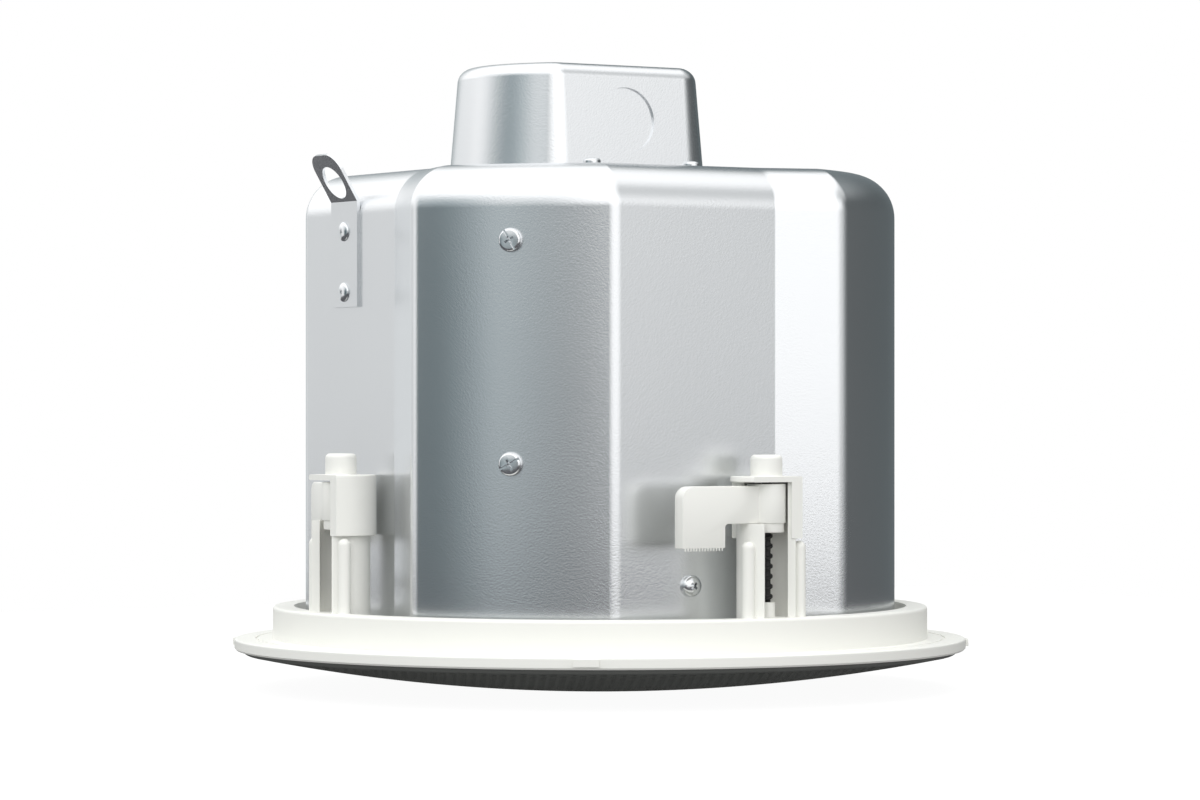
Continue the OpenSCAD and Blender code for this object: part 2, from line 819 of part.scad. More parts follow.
// Screw terminals in a row, with a fence between neighbours
module terminal_block() {
    color([0.15, 0.15, 0.16]) translate([-cover_x, block_y, can_top]) difference() {
        union() {
            translate([-block_w / 2, -block_deep / 2, 0]) cube([block_w, block_deep, block_h]);
            for (i = [0:pole_count])
                translate([-block_w / 2 + i * terminal_step, -block_deep / 2, 0])
                    cube([fence_t, block_deep, block_h + fence_h]);
        }
        for (x = terminal_places())
            translate([x, 0, terminal_floor])
                cylinder(r = terminal_shank_r + grip_gap, h = block_h, $fn = 24);
    }
}

// Middle of each pole, between its two fences
function terminal_places() =
    [for (i = [0:pole_count - 1]) (fence_t - block_w) / 2 + (i + 0.5) * terminal_step];

module terminal_screws() {
    color("silver") for (x = terminal_places())
        translate([-cover_x + x, block_y, can_top + block_h])
            pan_screw(terminal_head_r, terminal_head_h, terminal_shank_r, terminal_shank_len);
}

// Rubber grommet in the can's top, where the leads pass through
module wire_grommet() {
    bore = grommet_r - grommet_wall;
    waist = grommet_r - seat;
    lip = grommet_r + grommet_lip;
    section = [
        [bore, -can_t - grommet_lip_t], [lip, -can_t - grommet_lip_t],
        [lip, -can_t - grommet_fit], [waist, -can_t - grommet_fit],
        [waist, grommet_fit], [lip, grommet_fit], [lip, grommet_lip_t], [bore, grommet_lip_t]];
    color([0.12, 0.12, 0.12]) translate([-cover_x, grommet_y, can_top]) rotate_extrude() polygon(section);
}

function tab_screw_heights() = [tab_z + tab_screw_low, tab_z + tab_screw_low + tab_screw_step];

// Bent strap for the safety wire
module seismic_tab() {
    color([0.7, 0.72, 0.73]) rotate([0, 0, -quarter]) translate([tab_side, -can_flat, 0]) {
        difference() {
            translate([-tab_w / 2, -tab_t, tab_z]) cube([tab_w, tab_t, strap_len]);
            for (z = tab_screw_heights())
                translate([0, lap, z]) rotate([90, 0, 0])
                    cylinder(r = tab_shank_r + screw_hole_gap, h = tab_t + 2 * lap, $fn = 32);
        }
        translate([0, 0, strap_top]) rotate([leaf_turn, 0, 0]) rotate([90, 0, 0])
            linear_extrude(tab_t) difference() {
                union() {
                    translate([-tab_w / 2, -tab_t * 0.25])
                        square([tab_w, leaf_len - tab_tip_r + tab_t * 0.25]);
                    translate([-tab_w / 2 + tab_tip_r, leaf_len - tab_tip_r - lap])
                        square([tab_w - 2 * tab_tip_r, tab_tip_r + lap]);
                    for (side = [-1, 1])
                        translate([side * (tab_w / 2 - tab_tip_r), leaf_len - tab_tip_r])
                            circle(r = tab_tip_r);
                }
                translate([0, leaf_hole_up]) circle(r = leaf_hole_r);
            }
    }
}

module seismic_tab_screws() {
    color("silver") for (z = tab_screw_heights())
        on_face(clamp_count, tab_side, z, can_flat + tab_t)
            pan_screw(tab_head_r, tab_head_h, tab_shank_r, tab_shank_len);
}

// Turns its children so that -Y is the transformer's way out of the can
module at_transformer() {
    rotate([0, 0, trans_turn]) children();
}

function trans_screw_heights() = [trans_z - trans_screws / 2, trans_z + trans_screws / 2];

// Channel that wraps the core and is screwed to the can by its two ears
module transformer_bracket() {
    leg = core_deep * 0.7;
    color([0.6, 0.6, 0.6]) at_transformer() difference() {
        union() {
            translate([-bracket_w / 2, -bracket_face, trans_z - bracket_len / 2])
                cube([bracket_w, bracket_t, bracket_len]);
            for (z = [trans_z - core_len / 2 - bracket_t - seat, trans_z + core_len / 2 + seat])
                translate([-bracket_w / 2, -bracket_face, z]) cube([bracket_w, leg, bracket_t]);
        }
        for (z = trans_screw_heights())
            translate([0, -bracket_face + bracket_t + lap, z]) rotate([90, 0, 0])
                cylinder(r = trans_shank_r + grip_gap, h = bracket_t + 2 * lap, $fn = 32);
    }
}

// Stack of laminations with two windows for the winding
module transformer_core() {
    color([0.35, 0.35, 0.37]) at_transformer() translate([0, -core_face, trans_z]) difference() {
        translate([-core_stack / 2, 0, -core_len / 2]) cube([core_stack, core_deep, core_len]);
        for (side = [-1, 1])
            translate([
                -core_stack,
                core_leg,
                side > 0 ? centre_leg / 2 : core_leg - core_len / 2])
                cube([2 * core_stack, window_len, core_len / 2 - core_leg - centre_leg / 2]);
    }
}

// Winding round the core's middle leg
module transformer_coil() {
    high = core_len / 2 - core_leg - coil_gap;
    wide = core_stack / 2 + coil_out;
    soft = 4;
    color([0.75, 0.6, 0.2]) at_transformer()
        translate([0, -core_face + core_leg + coil_gap, trans_z])
            rotate([-90, 0, 0]) linear_extrude(window_len - 2 * coil_gap) difference() {
                union() {
                    square([2 * wide, 2 * (high - soft)], center = true);
                    square([2 * (wide - soft), 2 * high], center = true);
                    for (x = [-1, 1])
                        for (y = [-1, 1])
                            translate([x * (wide - soft), y * (high - soft)]) circle(r = soft);
                }
                square([core_stack + 2 * coil_gap, centre_leg + 2 * coil_gap], center = true);
            }
}

module transformer_screws() {
    color("silver") at_transformer() for (z = trans_screw_heights())
        translate([0, -can_r, z]) rotate([90, 0, 0])
            pan_screw(trans_head_r, trans_head_h, trans_shank_r, trans_shank_len);
}

function spacer_places() = [
    for (x = [-1, 1]) for (y = [-1, 1])
        board_at + [x * (board_size.x / 2 - spacer_in), y * (board_size.y / 2 - spacer_in)]];

module crossover_board() {
    color([0.2, 0.4, 0.25]) translate([board_at.x, board_at.y, board_z]) difference() {
        translate([-board_size.x / 2, -board_size.y / 2, 0]) cube([board_size.x, board_size.y, board_t]);
        for (p = spacer_places())
            translate([p.x - board_at.x, p.y - board_at.y, -lap])
                cylinder(r = spacer_bore_r, h = board_t + 2 * lap, $fn = 24);
    }
}

module board_spacers() {
    color([0.8, 0.8, 0.8]) for (p = spacer_places())
        translate([p.x, p.y, 0]) tube(spacer_r, spacer_bore_r, board_z + board_t, can_in_top, $fn = 32);
}

// Air-cored choke that hangs under the board
module crossover_coil() {
    color([0.7, 0.4, 0.2]) translate([choke_at.x, choke_at.y, 0])
        tube(choke_r, choke_r * 0.45, board_z - choke_h, board_z);
}

module crossover_capacitors() {
    color([0.25, 0.25, 0.6]) for (side = [-1, 1])
        translate([cap_end_x, board_at.y + side * (can_cap_r + part_gap / 2), board_z - can_cap_r])
            rotate([0, 90, 0]) cylinder(r = can_cap_r, h = can_cap_len, $fn = 48);
}

// Pressed steel frame with windows
module woofer_frame() {
    window_z = 5;
    window_top = spider_z - frame_t - 1.5;
    section = [
        [basket_r - frame_t - land_w, frame_z], [frame_r, frame_z], [frame_r, -deck_t],
        [basket_r, -deck_t], [basket_top_r, plate_z], [plate_hole_r + 2, plate_z],
        [plate_hole_r + 2, basket_top], [basket_top_r - frame_t, basket_top],
        [basket_r - frame_t, -deck_t], [basket_r - frame_t - land_w, -deck_t]];
    color([0.2, 0.2, 0.22]) difference() {
        rotate_extrude($fn = 120) polygon(section);
        for (i = [0:window_count - 1])
            rotate([0, 0, 360 / window_count * i])
                translate([0, 0, window_z]) linear_extrude(window_top - window_z)
                    polygon(concat([[0, 0]], arc([0, 0], basket_r * 1.3,
                        -180 / window_count * window_share, 180 / window_count * window_share, 2)));
        for (k = [1:clamp_count])
            rotate([0, 0, 45 + k * quarter]) translate([0, -screw_ring_r, frame_z - lap])
                cylinder(r = drive_screw_r + screw_hole_gap, h = frame_t + 2 * lap, $fn = 32);
    }
    color([0.2, 0.2, 0.22])
        tube(basket_at_spider - frame_t * 0.5, basket_at_spider - spider_land, spider_z - frame_t, spider_z);
}

module woofer_screws() {
    color([0.1, 0.1, 0.1]) for (k = [1:clamp_count])
        rotate([0, 0, 45 + k * quarter]) translate([0, -screw_ring_r, frame_z]) rotate([180, 0, 0])
            pan_screw(drive_head_r, drive_head_h, drive_screw_r, deck_t + frame_t + drive_boss_h - 2);
}

// Rubber half roll between the cone and the frame
module surround() {
    steps = 12;
    function roll(r, flip) = [for (i = [0:steps])
        let (turn = 180 * (flip ? steps - i : i) / steps)
        [roll_mid_r - r * cos(turn), frame_z - r * sin(turn)]];
    section = concat(
        [[cone_r - land_w, frame_z - land_t], [cone_r - land_w, frame_z]],
        roll(roll_r - surround_t, false),
        [[roll_mid_r + roll_r + land_w, frame_z], [roll_mid_r + roll_r + land_w, frame_z - land_t]],
        roll(roll_r, true));
    color([0.1, 0.1, 0.1]) rotate_extrude($fn = 120) polygon(section);
}

// Paper cone from the voice coil to the surround
module cone() {
    steps = 10;
    deep = neck_joint_z - frame_z;
    inner = former_r + seat;
    function line(lift) = [for (i = [0:steps])
        let (u = i / steps, r = inner + (cone_r - inner) * u)
        [r, frame_z + lift + deep * (1 - u) * (1 - cone_bow * u)]];
    low = line(seat / 2);
    high = line(seat / 2 + cone_t);
    section = concat(low, [for (i = [steps:-1:0]) high[i]]);
    color([0.16, 0.16, 0.16]) rotate_extrude($fn = 120) polygon(section);
}

// Corrugated disc that keeps the voice coil centred
module spider() {
    steps = spider_waves * 6;
    function wave(lift) = [for (i = [0:steps])
        let (u = i / steps)
        [former_r + seat + (spider_r - former_r - seat) * u,
            spider_z + lift + spider_wave * (1 - cos(360 * spider_waves * u)) / 2]];
    low = wave(seat / 2);
    high = wave(seat / 2 + spider_t);
    color([0.8, 0.65, 0.3]) rotate_extrude($fn = 120)
        polygon(concat(low, [for (i = [steps:-1:0]) high[i]]));
}

// Former with the winding in the magnetic gap
module voice_coil() {
    winding_mid = plate_z + plate_h / 2;
    color([0.72, 0.45, 0.2]) {
        tube(former_r, former_in_r, spider_z - former_below, winding_mid + winding_len / 2);
        tube(former_r + winding_t, former_r - former_t / 2,
            winding_mid - winding_len / 2, winding_mid + winding_len / 2);
    }
}

module top_plate() {
    color([0.6, 0.6, 0.62]) tube(plate_r, plate_hole_r, plate_z, magnet_z);
}

module magnet() {
    color([0.18, 0.18, 0.19]) tube(magnet_r, magnet_hole_r, magnet_z, back_z, $fn = 96);
}

// Back plate and pole in one piece, bored for the tweeter's post
module pole_piece() {
    color([0.6, 0.6, 0.62]) difference() {
        union() {
            translate([0, 0, back_z]) cylinder(r = plate_r, h = plate_h);
            translate([0, 0, plate_z - pole_out]) cylinder(r = pole_r, h = back_z - plate_z + lap + pole_out);
        }
        translate([0, 0, plate_z - pole_bore_out]) cylinder(r = post_r + grip_gap, h = back_z, $fn = 48);
    }
}

module tweeter_post() {
    color([0.3, 0.3, 0.32]) translate([0, 0, tweeter_z])
        cylinder(r = post_r, h = back_z + plate_h - tweeter_z, $fn = 48);
}

// Cup with a flared mouth that looks down at the grille
module tweeter_housing() {
    back_r = tweeter_r - tweeter_bevel / 2;
    section = [
        [0, tweeter_z - tweeter_wall], [0, tweeter_z], [back_r - tweeter_bevel, tweeter_z],
        [back_r, tweeter_z - tweeter_bevel], [tweeter_r, tweeter_low + tweeter_bevel / 2],
        [tweeter_r, tweeter_low], [tweeter_r - tweeter_wall, tweeter_low],
        [dome_r + seat, tweeter_low + tweeter_flare_h], [dome_r + seat, tweeter_z - tweeter_wall]];
    color([0.13, 0.13, 0.14]) rotate_extrude() polygon(section);
}

// Silk dome in the tweeter's mouth
module tweeter_dome() {
    steps = 8;
    function crown(r, h) = [for (i = [0:steps])
        let (turn = 90 * i / steps)
        [r * cos(turn), silk_z - h * sin(turn)]];
    outer = crown(dome_r, silk_rise);
    inner = crown(dome_r - silk_t, silk_rise - silk_t);
    color([0.3, 0.3, 0.33]) rotate_extrude() polygon(concat(outer, [for (i = [steps:-1:0]) inner[i]]));
}

module tweeter_magnet() {
    low = tweeter_z - tweeter_wall - tweeter_magnet_h;
    color([0.5, 0.5, 0.52]) translate([0, 0, low])
        cylinder(r = dome_r - tweeter_magnet_edge, h = tweeter_magnet_h - seat / 2);
}

// Cap that closes a tower, guides the screw's end and shields the parked arm
module clamp_cap(k) {
    function rounded(r, z, e) = [for (i = [0:3]) [r - e * (1 - cos(30 * i)), z - e * (1 - sin(30 * i))]];
    crown = concat(
        [[0, cap_z], [cap_r, cap_z]],
        rounded(cap_r, cap_top, cap_edge_r),
        [[knob_r, cap_top]],
        rounded(knob_r, knob_top, knob_edge_r),
        [[0, knob_top]]);
    color([0.92, 0.92, 0.89]) intersection() {
        at_clamp(k) difference() {
            union() {
                rotate_extrude() polygon(crown);
                intersection() {
                    tube(cap_r, skirt_in_r, skirt_z, cap_z + lap);
                    wedge(3 * cap_r, skirt_from, skirt_to, skirt_z - lap, cap_z + lap);
                }
            }
            translate([0, 0, cap_z - lap]) cylinder(r = screw_bore_r, h = bore_end - cap_z + lap, $fn = 48);
        }
        cylinder(r = cap_reach, h = knob_top + lap, $fn = 180);
    }
}

// Side view of the arm: beam, rounded tip, toothed foot
function arm_outline() =
    let (
        tip_r = 4,
        inner_r = 1.2,
        tooth = [[0, 1], [0.12, 0], [0.6, 0], [0.72, 1]],
        foot_z = arm_z - foot_drop,
        teeth = floor(foot_len / tooth_pitch),
        first = -arm_reach + (foot_len - teeth * tooth_pitch) / 2,
        heel = -arm_reach + foot_len)
    concat(
        [[0, arm_z], [0, arm_top]],
        [for (i = [0:6]) [-arm_reach + tip_r * (1 - sin(15 * i)), arm_top - tip_r * (1 - cos(15 * i))]],
        [[-arm_reach, foot_z + tooth_h]],
        [for (i = [0:teeth - 1]) for (corner = tooth)
            [first + (i + corner[0]) * tooth_pitch, foot_z + corner[1] * tooth_h]],
        [[first + teeth * tooth_pitch, foot_z + tooth_h], [heel, foot_z + tooth_h]],
        [for (i = [0:3]) [heel + inner_r * (1 - cos(30 * i)), arm_z - inner_r * (1 - sin(30 * i))]]);

// Swing arm that clamps the ceiling board. Arm 1 is parked along the can's flat face,
// and the others lean in towards it.
module clamp_arm(k) {
    lean = k == 1 ? 0 : arm_lean;
    color([0.92, 0.92, 0.89]) at_clamp(k) rotate([0, 0, -lean]) difference() {
        union() {
            translate([0, arm_t - arm_face, 0]) rotate([90, 0, 0])
                linear_extrude(arm_t) polygon(arm_outline());
            translate([0, 0, arm_z]) cylinder(r = hub_r, h = arm_h);
            translate([0, 0, arm_z - collar_h]) cylinder(r = collar_r, h = collar_h + lap);
        }
        translate([0, 0, arm_z - collar_h - lap])
            cylinder(r = screw_bore_r, h = arm_h + collar_h + 2 * lap, $fn = 48);
    }
}

// Long screw that draws the arm down
module clamp_screw(k) {
    head_top = head_seat - head_gap;
    color([0.08, 0.08, 0.08]) at_clamp(k) {
        translate([0, 0, head_top]) cylinder(r = screw_r, h = screw_end - head_top, $fn = 48);
        translate([0, 0, head_top]) rotate([180, 0, 0])
            pan_screw(clamp_head_r, clamp_head_h, screw_r, 1);
    }
}

baffle();
grille();
back_can();
can_gasket();
can_screws();
damping_felt();
terminal_cover();
terminal_cover_screws();
terminal_block();
terminal_screws();
wire_grommet();
seismic_tab();
seismic_tab_screws();
transformer_bracket();
transformer_core();
transformer_coil();
transformer_screws();
crossover_board();
crossover_coil();
crossover_capacitors();
board_spacers();
woofer_frame();
woofer_screws();
surround();
cone();
spider();
voice_coil();
top_plate();
magnet();
pole_piece();
tweeter_post();
tweeter_housing();
tweeter_dome();
tweeter_magnet();
for (k = [1:clamp_count]) {
    clamp_cap(k);
    clamp_arm(k);
    clamp_screw(k);
}
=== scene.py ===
# %% [markdown]
# # An in-ceiling loudspeaker, dressed for its studio picture
# The loudspeaker is already built as a CAD model: a moulded white bezel with four swing clamps,
# a drawn steel can, a steel cover over the terminals and a domed grille. This lesson loads that
# model as a fixed frame and gives it the things that CAD leaves out: fine sheet metal bends,
# punched holes, threads, screw recesses, and finishes that behave like zinc, paint and plastic.
#
# Everything is worked out in millimetres, because that is how the real piece is drawn, and goes
# into Blender in metres.

# %% Load the frame
import json
import math

import bmesh
import bpy
from mathutils import Matrix, Vector


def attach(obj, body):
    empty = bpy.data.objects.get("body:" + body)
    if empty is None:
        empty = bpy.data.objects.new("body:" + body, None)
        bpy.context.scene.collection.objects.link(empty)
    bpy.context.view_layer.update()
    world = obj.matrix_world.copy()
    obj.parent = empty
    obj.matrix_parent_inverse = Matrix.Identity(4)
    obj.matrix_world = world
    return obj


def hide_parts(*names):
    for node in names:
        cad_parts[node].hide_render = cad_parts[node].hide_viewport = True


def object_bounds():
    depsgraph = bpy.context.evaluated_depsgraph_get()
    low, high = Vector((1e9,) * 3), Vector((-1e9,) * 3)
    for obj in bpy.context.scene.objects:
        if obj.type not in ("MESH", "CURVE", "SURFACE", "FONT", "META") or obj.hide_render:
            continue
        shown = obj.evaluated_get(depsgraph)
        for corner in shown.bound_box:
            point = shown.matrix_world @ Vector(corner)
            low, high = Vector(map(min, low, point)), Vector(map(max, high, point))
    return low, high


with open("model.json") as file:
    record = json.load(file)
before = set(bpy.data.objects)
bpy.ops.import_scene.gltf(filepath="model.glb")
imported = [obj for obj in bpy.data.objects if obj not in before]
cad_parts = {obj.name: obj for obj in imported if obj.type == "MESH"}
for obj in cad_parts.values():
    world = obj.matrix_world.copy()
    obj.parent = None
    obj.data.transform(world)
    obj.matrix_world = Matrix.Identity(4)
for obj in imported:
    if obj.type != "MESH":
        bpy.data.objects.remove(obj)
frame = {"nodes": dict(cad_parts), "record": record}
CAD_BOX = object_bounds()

MM = 0.001
nodes = frame["nodes"]

# %% [markdown]
# ## The camera
# The picture was taken from a little above the flange, level, with a long lens. A long lens far
# away keeps upright lines upright and makes the ellipses of the bezel very thin. The place comes
# from fitting those ellipses, and the camera looks level along a fixed heading.

# %% Place the camera
CAMERA_AT = Vector((-0.8043, -1.2821, 0.0821))
CAMERA_HEADING = -32.1
camera = bpy.data.objects.new("camera", bpy.data.cameras.new("camera"))
bpy.context.scene.collection.objects.link(camera)
camera.location = CAMERA_AT
camera.rotation_euler = (math.radians(90), 0, math.radians(CAMERA_HEADING))
camera.data.sensor_width = 36
camera.data.lens = 130.77
camera.data.clip_end = 50
bpy.context.scene.camera = camera
bpy.context.scene.view_settings.view_transform = "Standard"
print("camera", [round(v, 3) for v in CAMERA_AT], "lens", round(camera.data.lens, 1))

# %% [markdown]
# ## Writing shader maths as sums
# A shader graph is a formula. Wiring it by hand hides that, so a small class wraps the output
# socket of a node. Adding or multiplying two of them makes the Math node for it, and a Graph
# makes any other node from its type, its settings and its inputs.

# %% A socket that can be used in sums
class Wire:
    """The output of a shader node. Sums on it add Math nodes to its graph."""

    def __init__(self, graph, socket):
        self.graph = graph
        self.socket = socket

    def math(self, operation, a, b=0.0):
        return self.graph.node("Math", {"operation": operation}, {0: a, 1: b})

    def __add__(self, other):
        return self.math("ADD", self, other)

    def __radd__(self, other):
        return self.math("ADD", other, self)

    def __sub__(self, other):
        return self.math("SUBTRACT", self, other)

    def __rsub__(self, other):
        return self.math("SUBTRACT", other, self)

    def __mul__(self, other):
        return self.math("MULTIPLY", self, other)

    def __rmul__(self, other):
        return self.math("MULTIPLY", other, self)

    def __truediv__(self, other):
        return self.math("DIVIDE", self, other)

    def __pow__(self, other):
        return self.math("POWER", self, other)


class Graph:
    """The node tree of a material or of the world."""

    def __init__(self, tree):
        self.tree = tree
        tree.nodes.clear()

    def node(self, kind, settings={}, inputs={}, out=0):
        made = self.tree.nodes.new("ShaderNode" + kind)
        for name, value in settings.items():
            if name == "stops":
                self.set_stops(made.color_ramp, value)
            else:
                setattr(made, name, value)
        for name, value in inputs.items():
            if isinstance(value, Wire):
                self.tree.links.new(value.socket, made.inputs[name])
            else:
                made.inputs[name].default_value = value
        return Wire(self, made.outputs[out]) if len(made.outputs) else made

    def set_stops(self, ramp, stops):
        while len(ramp.elements) < len(stops):
            ramp.elements.new(1.0)
        for element, (place, colour) in zip(ramp.elements, stops):
            element.position = place
            element.color = (*colour, 1)

    def mix(self, factor, a, b):
        """Blends two colours."""
        return self.node("Mix", {"data_type": "RGBA"}, {0: factor, 6: a, 7: b}, 2)

    def noise(self, scale, detail=2.0, roughness=0.5):
        """Soft noise that is fixed to the piece. The scale counts blobs in a metre."""
        place = self.node("TexCoord", out=3)
        return self.node("TexNoise", {}, {"Vector": place, "Scale": scale, "Detail": detail,
                                          "Roughness": roughness})

    def spread(self, value, low, high, to_low, to_high):
        """Moves a value from one range to another and stops it at the ends."""
        return self.node("MapRange", {}, {0: value, 1: low, 2: high, 3: to_low, 4: to_high})


print("a", Graph.__name__, "makes nodes, and a", Wire.__name__, "adds them up")

# %% [markdown]
# ## The studio
# Bright metal has no colour of its own: it shows the room. The picture's room was a white tent
# with a few dark gaps, so the world here is that tent. Three ramps run round it, one above the
# other, and say how bright each direction is. A soft ceiling closes it overhead. The camera sees
# plain white instead, which keeps the background clean.

# %% The tent as the world
def around(heading):
    """Place on the ramp of a direction, given in degrees to the right of the camera's side."""
    return ((heading + CAMERA_HEADING - 90) / 360 + 0.5) % 1


HORIZON = [(-180, 0.16), (-160, 0.45), (-146, 0.84), (-128, 0.74), (-117, 0.64), (-110, 0.90), (-97, 1.05),
           (-92, 0.85), (-86, 0.28), (-76, 0.11), (-62, 0.16), (-52, 0.26), (-42, 0.50), (-30, 0.41),
           (-12, 0.29), (0, 0.29), (10, 0.54), (16, 0.98), (24, 1.16), (44, 1.22), (54, 1.00), (60, 0.73),
           (70, 0.67), (80, 0.42), (92, 0.15), (108, 0.12), (150, 0.12)]
BAND = [(-180, 0.20), (-165, 0.50), (-150, 1.10), (-135, 1.30), (-112, 1.25), (-98, 1.05), (-84, 0.80),
        (-70, 0.38), (-60, 0.40), (-50, 0.58), (-40, 0.95), (-30, 0.84), (-20, 0.74), (-8, 1.15), (4, 1.5),
        (44, 1.5), (60, 1.24), (70, 1.10), (80, 0.42), (92, 0.12), (150, 0.10)]
UPPER = [(-180, 0.20), (-165, 0.95), (-150, 1.4), (40, 1.4), (60, 0.75), (84, 0.60), (104, 0.8), (130, 0.36),
         (155, 0.20)]
BLUE = [(-100, 0.0), (-76, 1.0), (-30, 0.7), (10, 0.2), (60, 0.15), (120, 0.3), (180, 0.8)]
STRONGEST = 1.5


def tint_at(turn):
    """How blue the tent is in a direction, from 0 to 1."""
    turn = turn if turn >= BLUE[0][0] else turn + 360
    stops = BLUE + [(BLUE[0][0] + 360, 0.0)]
    for (a, low), (b, high) in zip(stops, stops[1:]):
        if a <= turn <= b:
            return low + (high - low) * (turn - a) / (b - a)


def ring_of_light(level, angle):
    """A ramp round the horizon. Dark parts of the tent are bluer than bright ones."""
    stops = []
    for a, v in level:
        blue = tint_at(a) * max(0.0, 1 - v)
        stops.append((around(a), tuple(v / STRONGEST * c for c in (1 - 0.30 * blue, 1.0, 1 + 0.10 * blue))))
    return sky.node("ValToRGB", {"stops": sorted(stops)}, {0: angle})


CEILING = 1.30
TO_BAND, TO_UPPER, TO_CEILING = (0.09, 0.21), (0.32, 0.55), (0.66, 0.82)
world = bpy.data.worlds.new("studio")
bpy.context.scene.world = world
world.use_nodes = True
sky = Graph(world.node_tree)
direction = sky.node("SeparateXYZ", {}, {0: sky.node("TexCoord", out=0)})
x, y, z = [Wire(sky, direction.socket.node.outputs[i]) for i in range(3)]
turn = x.math("ARCTAN2", y, x) / (2 * math.pi) + 0.5
tent = sky.mix(sky.spread(z, *TO_BAND, 0, 1), ring_of_light(HORIZON, turn), ring_of_light(BAND, turn))
tent = sky.mix(sky.spread(z, *TO_UPPER, 0, 1), tent, ring_of_light(UPPER, turn))
tent = sky.mix(sky.spread(z, *TO_CEILING, 0, 1), tent, (*[CEILING / STRONGEST] * 3, 1))
camera_ray = sky.node("LightPath", out=0)
seen = sky.node("Background", {}, {"Color": (1, 1, 1, 1), "Strength": 1.0})
lit = sky.node("Background", {}, {"Color": tent, "Strength": STRONGEST})
shown = sky.node("MixShader", {}, {0: camera_ray, 1: lit, 2: seen})
sky.node("OutputWorld", {}, {"Surface": shown})
print("the tent has", len(HORIZON) + len(BAND) + len(UPPER), "stops")

# %% [markdown]
# Two large lamps make the light on the white plastic a little uneven, as it is in a real tent:
# one on the left and one from above. They are hidden from reflections, because the tent
# already shows there.

# %% Two soft lamps
def soft_lamp(name, at, size, watts):
    lamp = bpy.data.lights.new(name, "AREA")
    lamp.size = size
    lamp.energy = watts
    piece = bpy.data.objects.new(name, lamp)
    bpy.context.scene.collection.objects.link(piece)
    piece.location = at
    piece.rotation_euler = (Vector(at) * -1).to_track_quat("-Z", "Y").to_euler()
    piece.visible_glossy = False


soft_lamp("lamp_left", (-1.5, -1.1, 1.1), 1.0, 7.5)
soft_lamp("lamp_above", (0.0, -0.3, 2.0), 1.5, 13)

# %% [markdown]
# ## The floor
# The loudspeaker rests on the lowest point of its grille. The floor is a large pale sheet. For
# the camera most of its brightness is its own, so it is white, and the rest is paint that takes
# the soft shadow of the part. In the metal's reflections it is dark, and it lights the plastic a
# little from below.

# %% The floor
def make_floor():
    mesh = bpy.data.meshes.new("floor")
    half, low = 0.6, CAD_BOX[0].z
    mesh.from_pydata([(x, y, low) for x, y in ((-half, -half), (half, -half), (half, half), (-half, half))],
                     [], [(0, 1, 2, 3)])
    floor = bpy.data.objects.new("floor", mesh)
    bpy.context.scene.collection.objects.link(floor)
    material = bpy.data.materials.new("floor")
    material.use_nodes = True
    g = Graph(material.node_tree)
    paint = g.node("BsdfDiffuse", {}, {"Color": (0.10, 0.10, 0.10, 1)})
    glow = g.node("Emission", {}, {"Color": (0.95, 0.95, 0.95, 1), "Strength": 1.0})
    white = g.node("AddShader", {}, {0: paint, 1: glow})
    bright = g.node("Emission", {}, {"Color": (0.45, 0.45, 0.45, 1), "Strength": 1.0})
    dark = g.node("BsdfDiffuse", {}, {"Color": (0.08, 0.08, 0.085, 1)})
    mirrored = g.node("LightPath", out=3)
    unseen = g.node("MixShader", {}, {0: mirrored, 1: bright, 2: dark})
    path = g.node("LightPath", out=0)
    g.node("OutputMaterial", {}, {"Surface": g.node("MixShader", {}, {0: path, 1: unseen, 2: white})})
    mesh.materials.append(material)
    return floor


floor = make_floor()
print("floor at", round(CAD_BOX[0].z * 1000, 1), "mm")

# %% [markdown]
# ## Finishes
# Each finish is one function that returns a material. All of them end in a Principled shader,
# which covers metal, paint and plastic, and all get their variation from noise that is fixed to
# the piece.

# %% A start for every finish
def new_material(name):
    material = bpy.data.materials.new(name)
    material.use_nodes = True
    return material, Graph(material.node_tree)


def close(g, normal=None, **inputs):
    """Ends a graph in a Principled shader. The names of its sockets are written with underscores."""
    values = {name.replace("_", " "): value for name, value in inputs.items()}
    if "Specular Level" in values:
        values["Specular IOR Level"] = values.pop("Specular Level")
    if normal is not None:
        values["Normal"] = normal
    g.node("OutputMaterial", {}, {"Surface": g.node("BsdfPrincipled", {}, values)})


def bump(g, height, distance, strength=1.0, under=None):
    """Raises the surface by height, 0 to 1, times a distance in millimetres."""
    inputs = {"Height": height, "Distance": distance * MM, "Strength": strength}
    if under is not None:
        inputs["Normal"] = under
    return g.node("Bump", {}, inputs)


# %% [markdown]
# ### Drawn zinc-plated steel
# The can is drawn from zinc-plated sheet. Its reflections are wide and soft, with a fine grain
# that comes from the sheet's skin being stretched. Grain is a bump of a few hundredths of a
# millimetre. A second, much larger noise lets the roughness drift, as the plating does.

# %% Zinc-plated sheet
def zinc_sheet():
    material, g = new_material("zinc_steel")
    drift = g.noise(14, 3.0)
    grain = g.noise(1500, 2.0, 0.6)
    tone = g.mix(g.spread(drift, 0.35, 0.65, 0, 1), (0.815, 0.830, 0.845, 1), (0.825, 0.840, 0.855, 1))
    rough = g.spread(drift, 0.3, 0.7, 0.250, 0.260) + (grain - 0.5) * 0.04
    close(g, bump(g, grain, 0.035, 1.0), Base_Color=tone, Metallic=1.0, Roughness=rough)
    return material


# %% [markdown]
# ### Bright zinc screws
# The screws are plated too, but turned and tumbled, so they are smoother than the sheet.

# %% Bright zinc
def bright_zinc():
    material, g = new_material("screw_zinc")
    grain = g.noise(900, 3.0, 0.6)
    tone = g.mix(grain, (0.72, 0.74, 0.76, 1), (0.86, 0.87, 0.88, 1))
    rough = g.spread(grain, 0.3, 0.7, 0.14, 0.24)
    close(g, bump(g, grain, 0.006, 0.5), Base_Color=tone, Metallic=1.0, Roughness=rough)
    return material


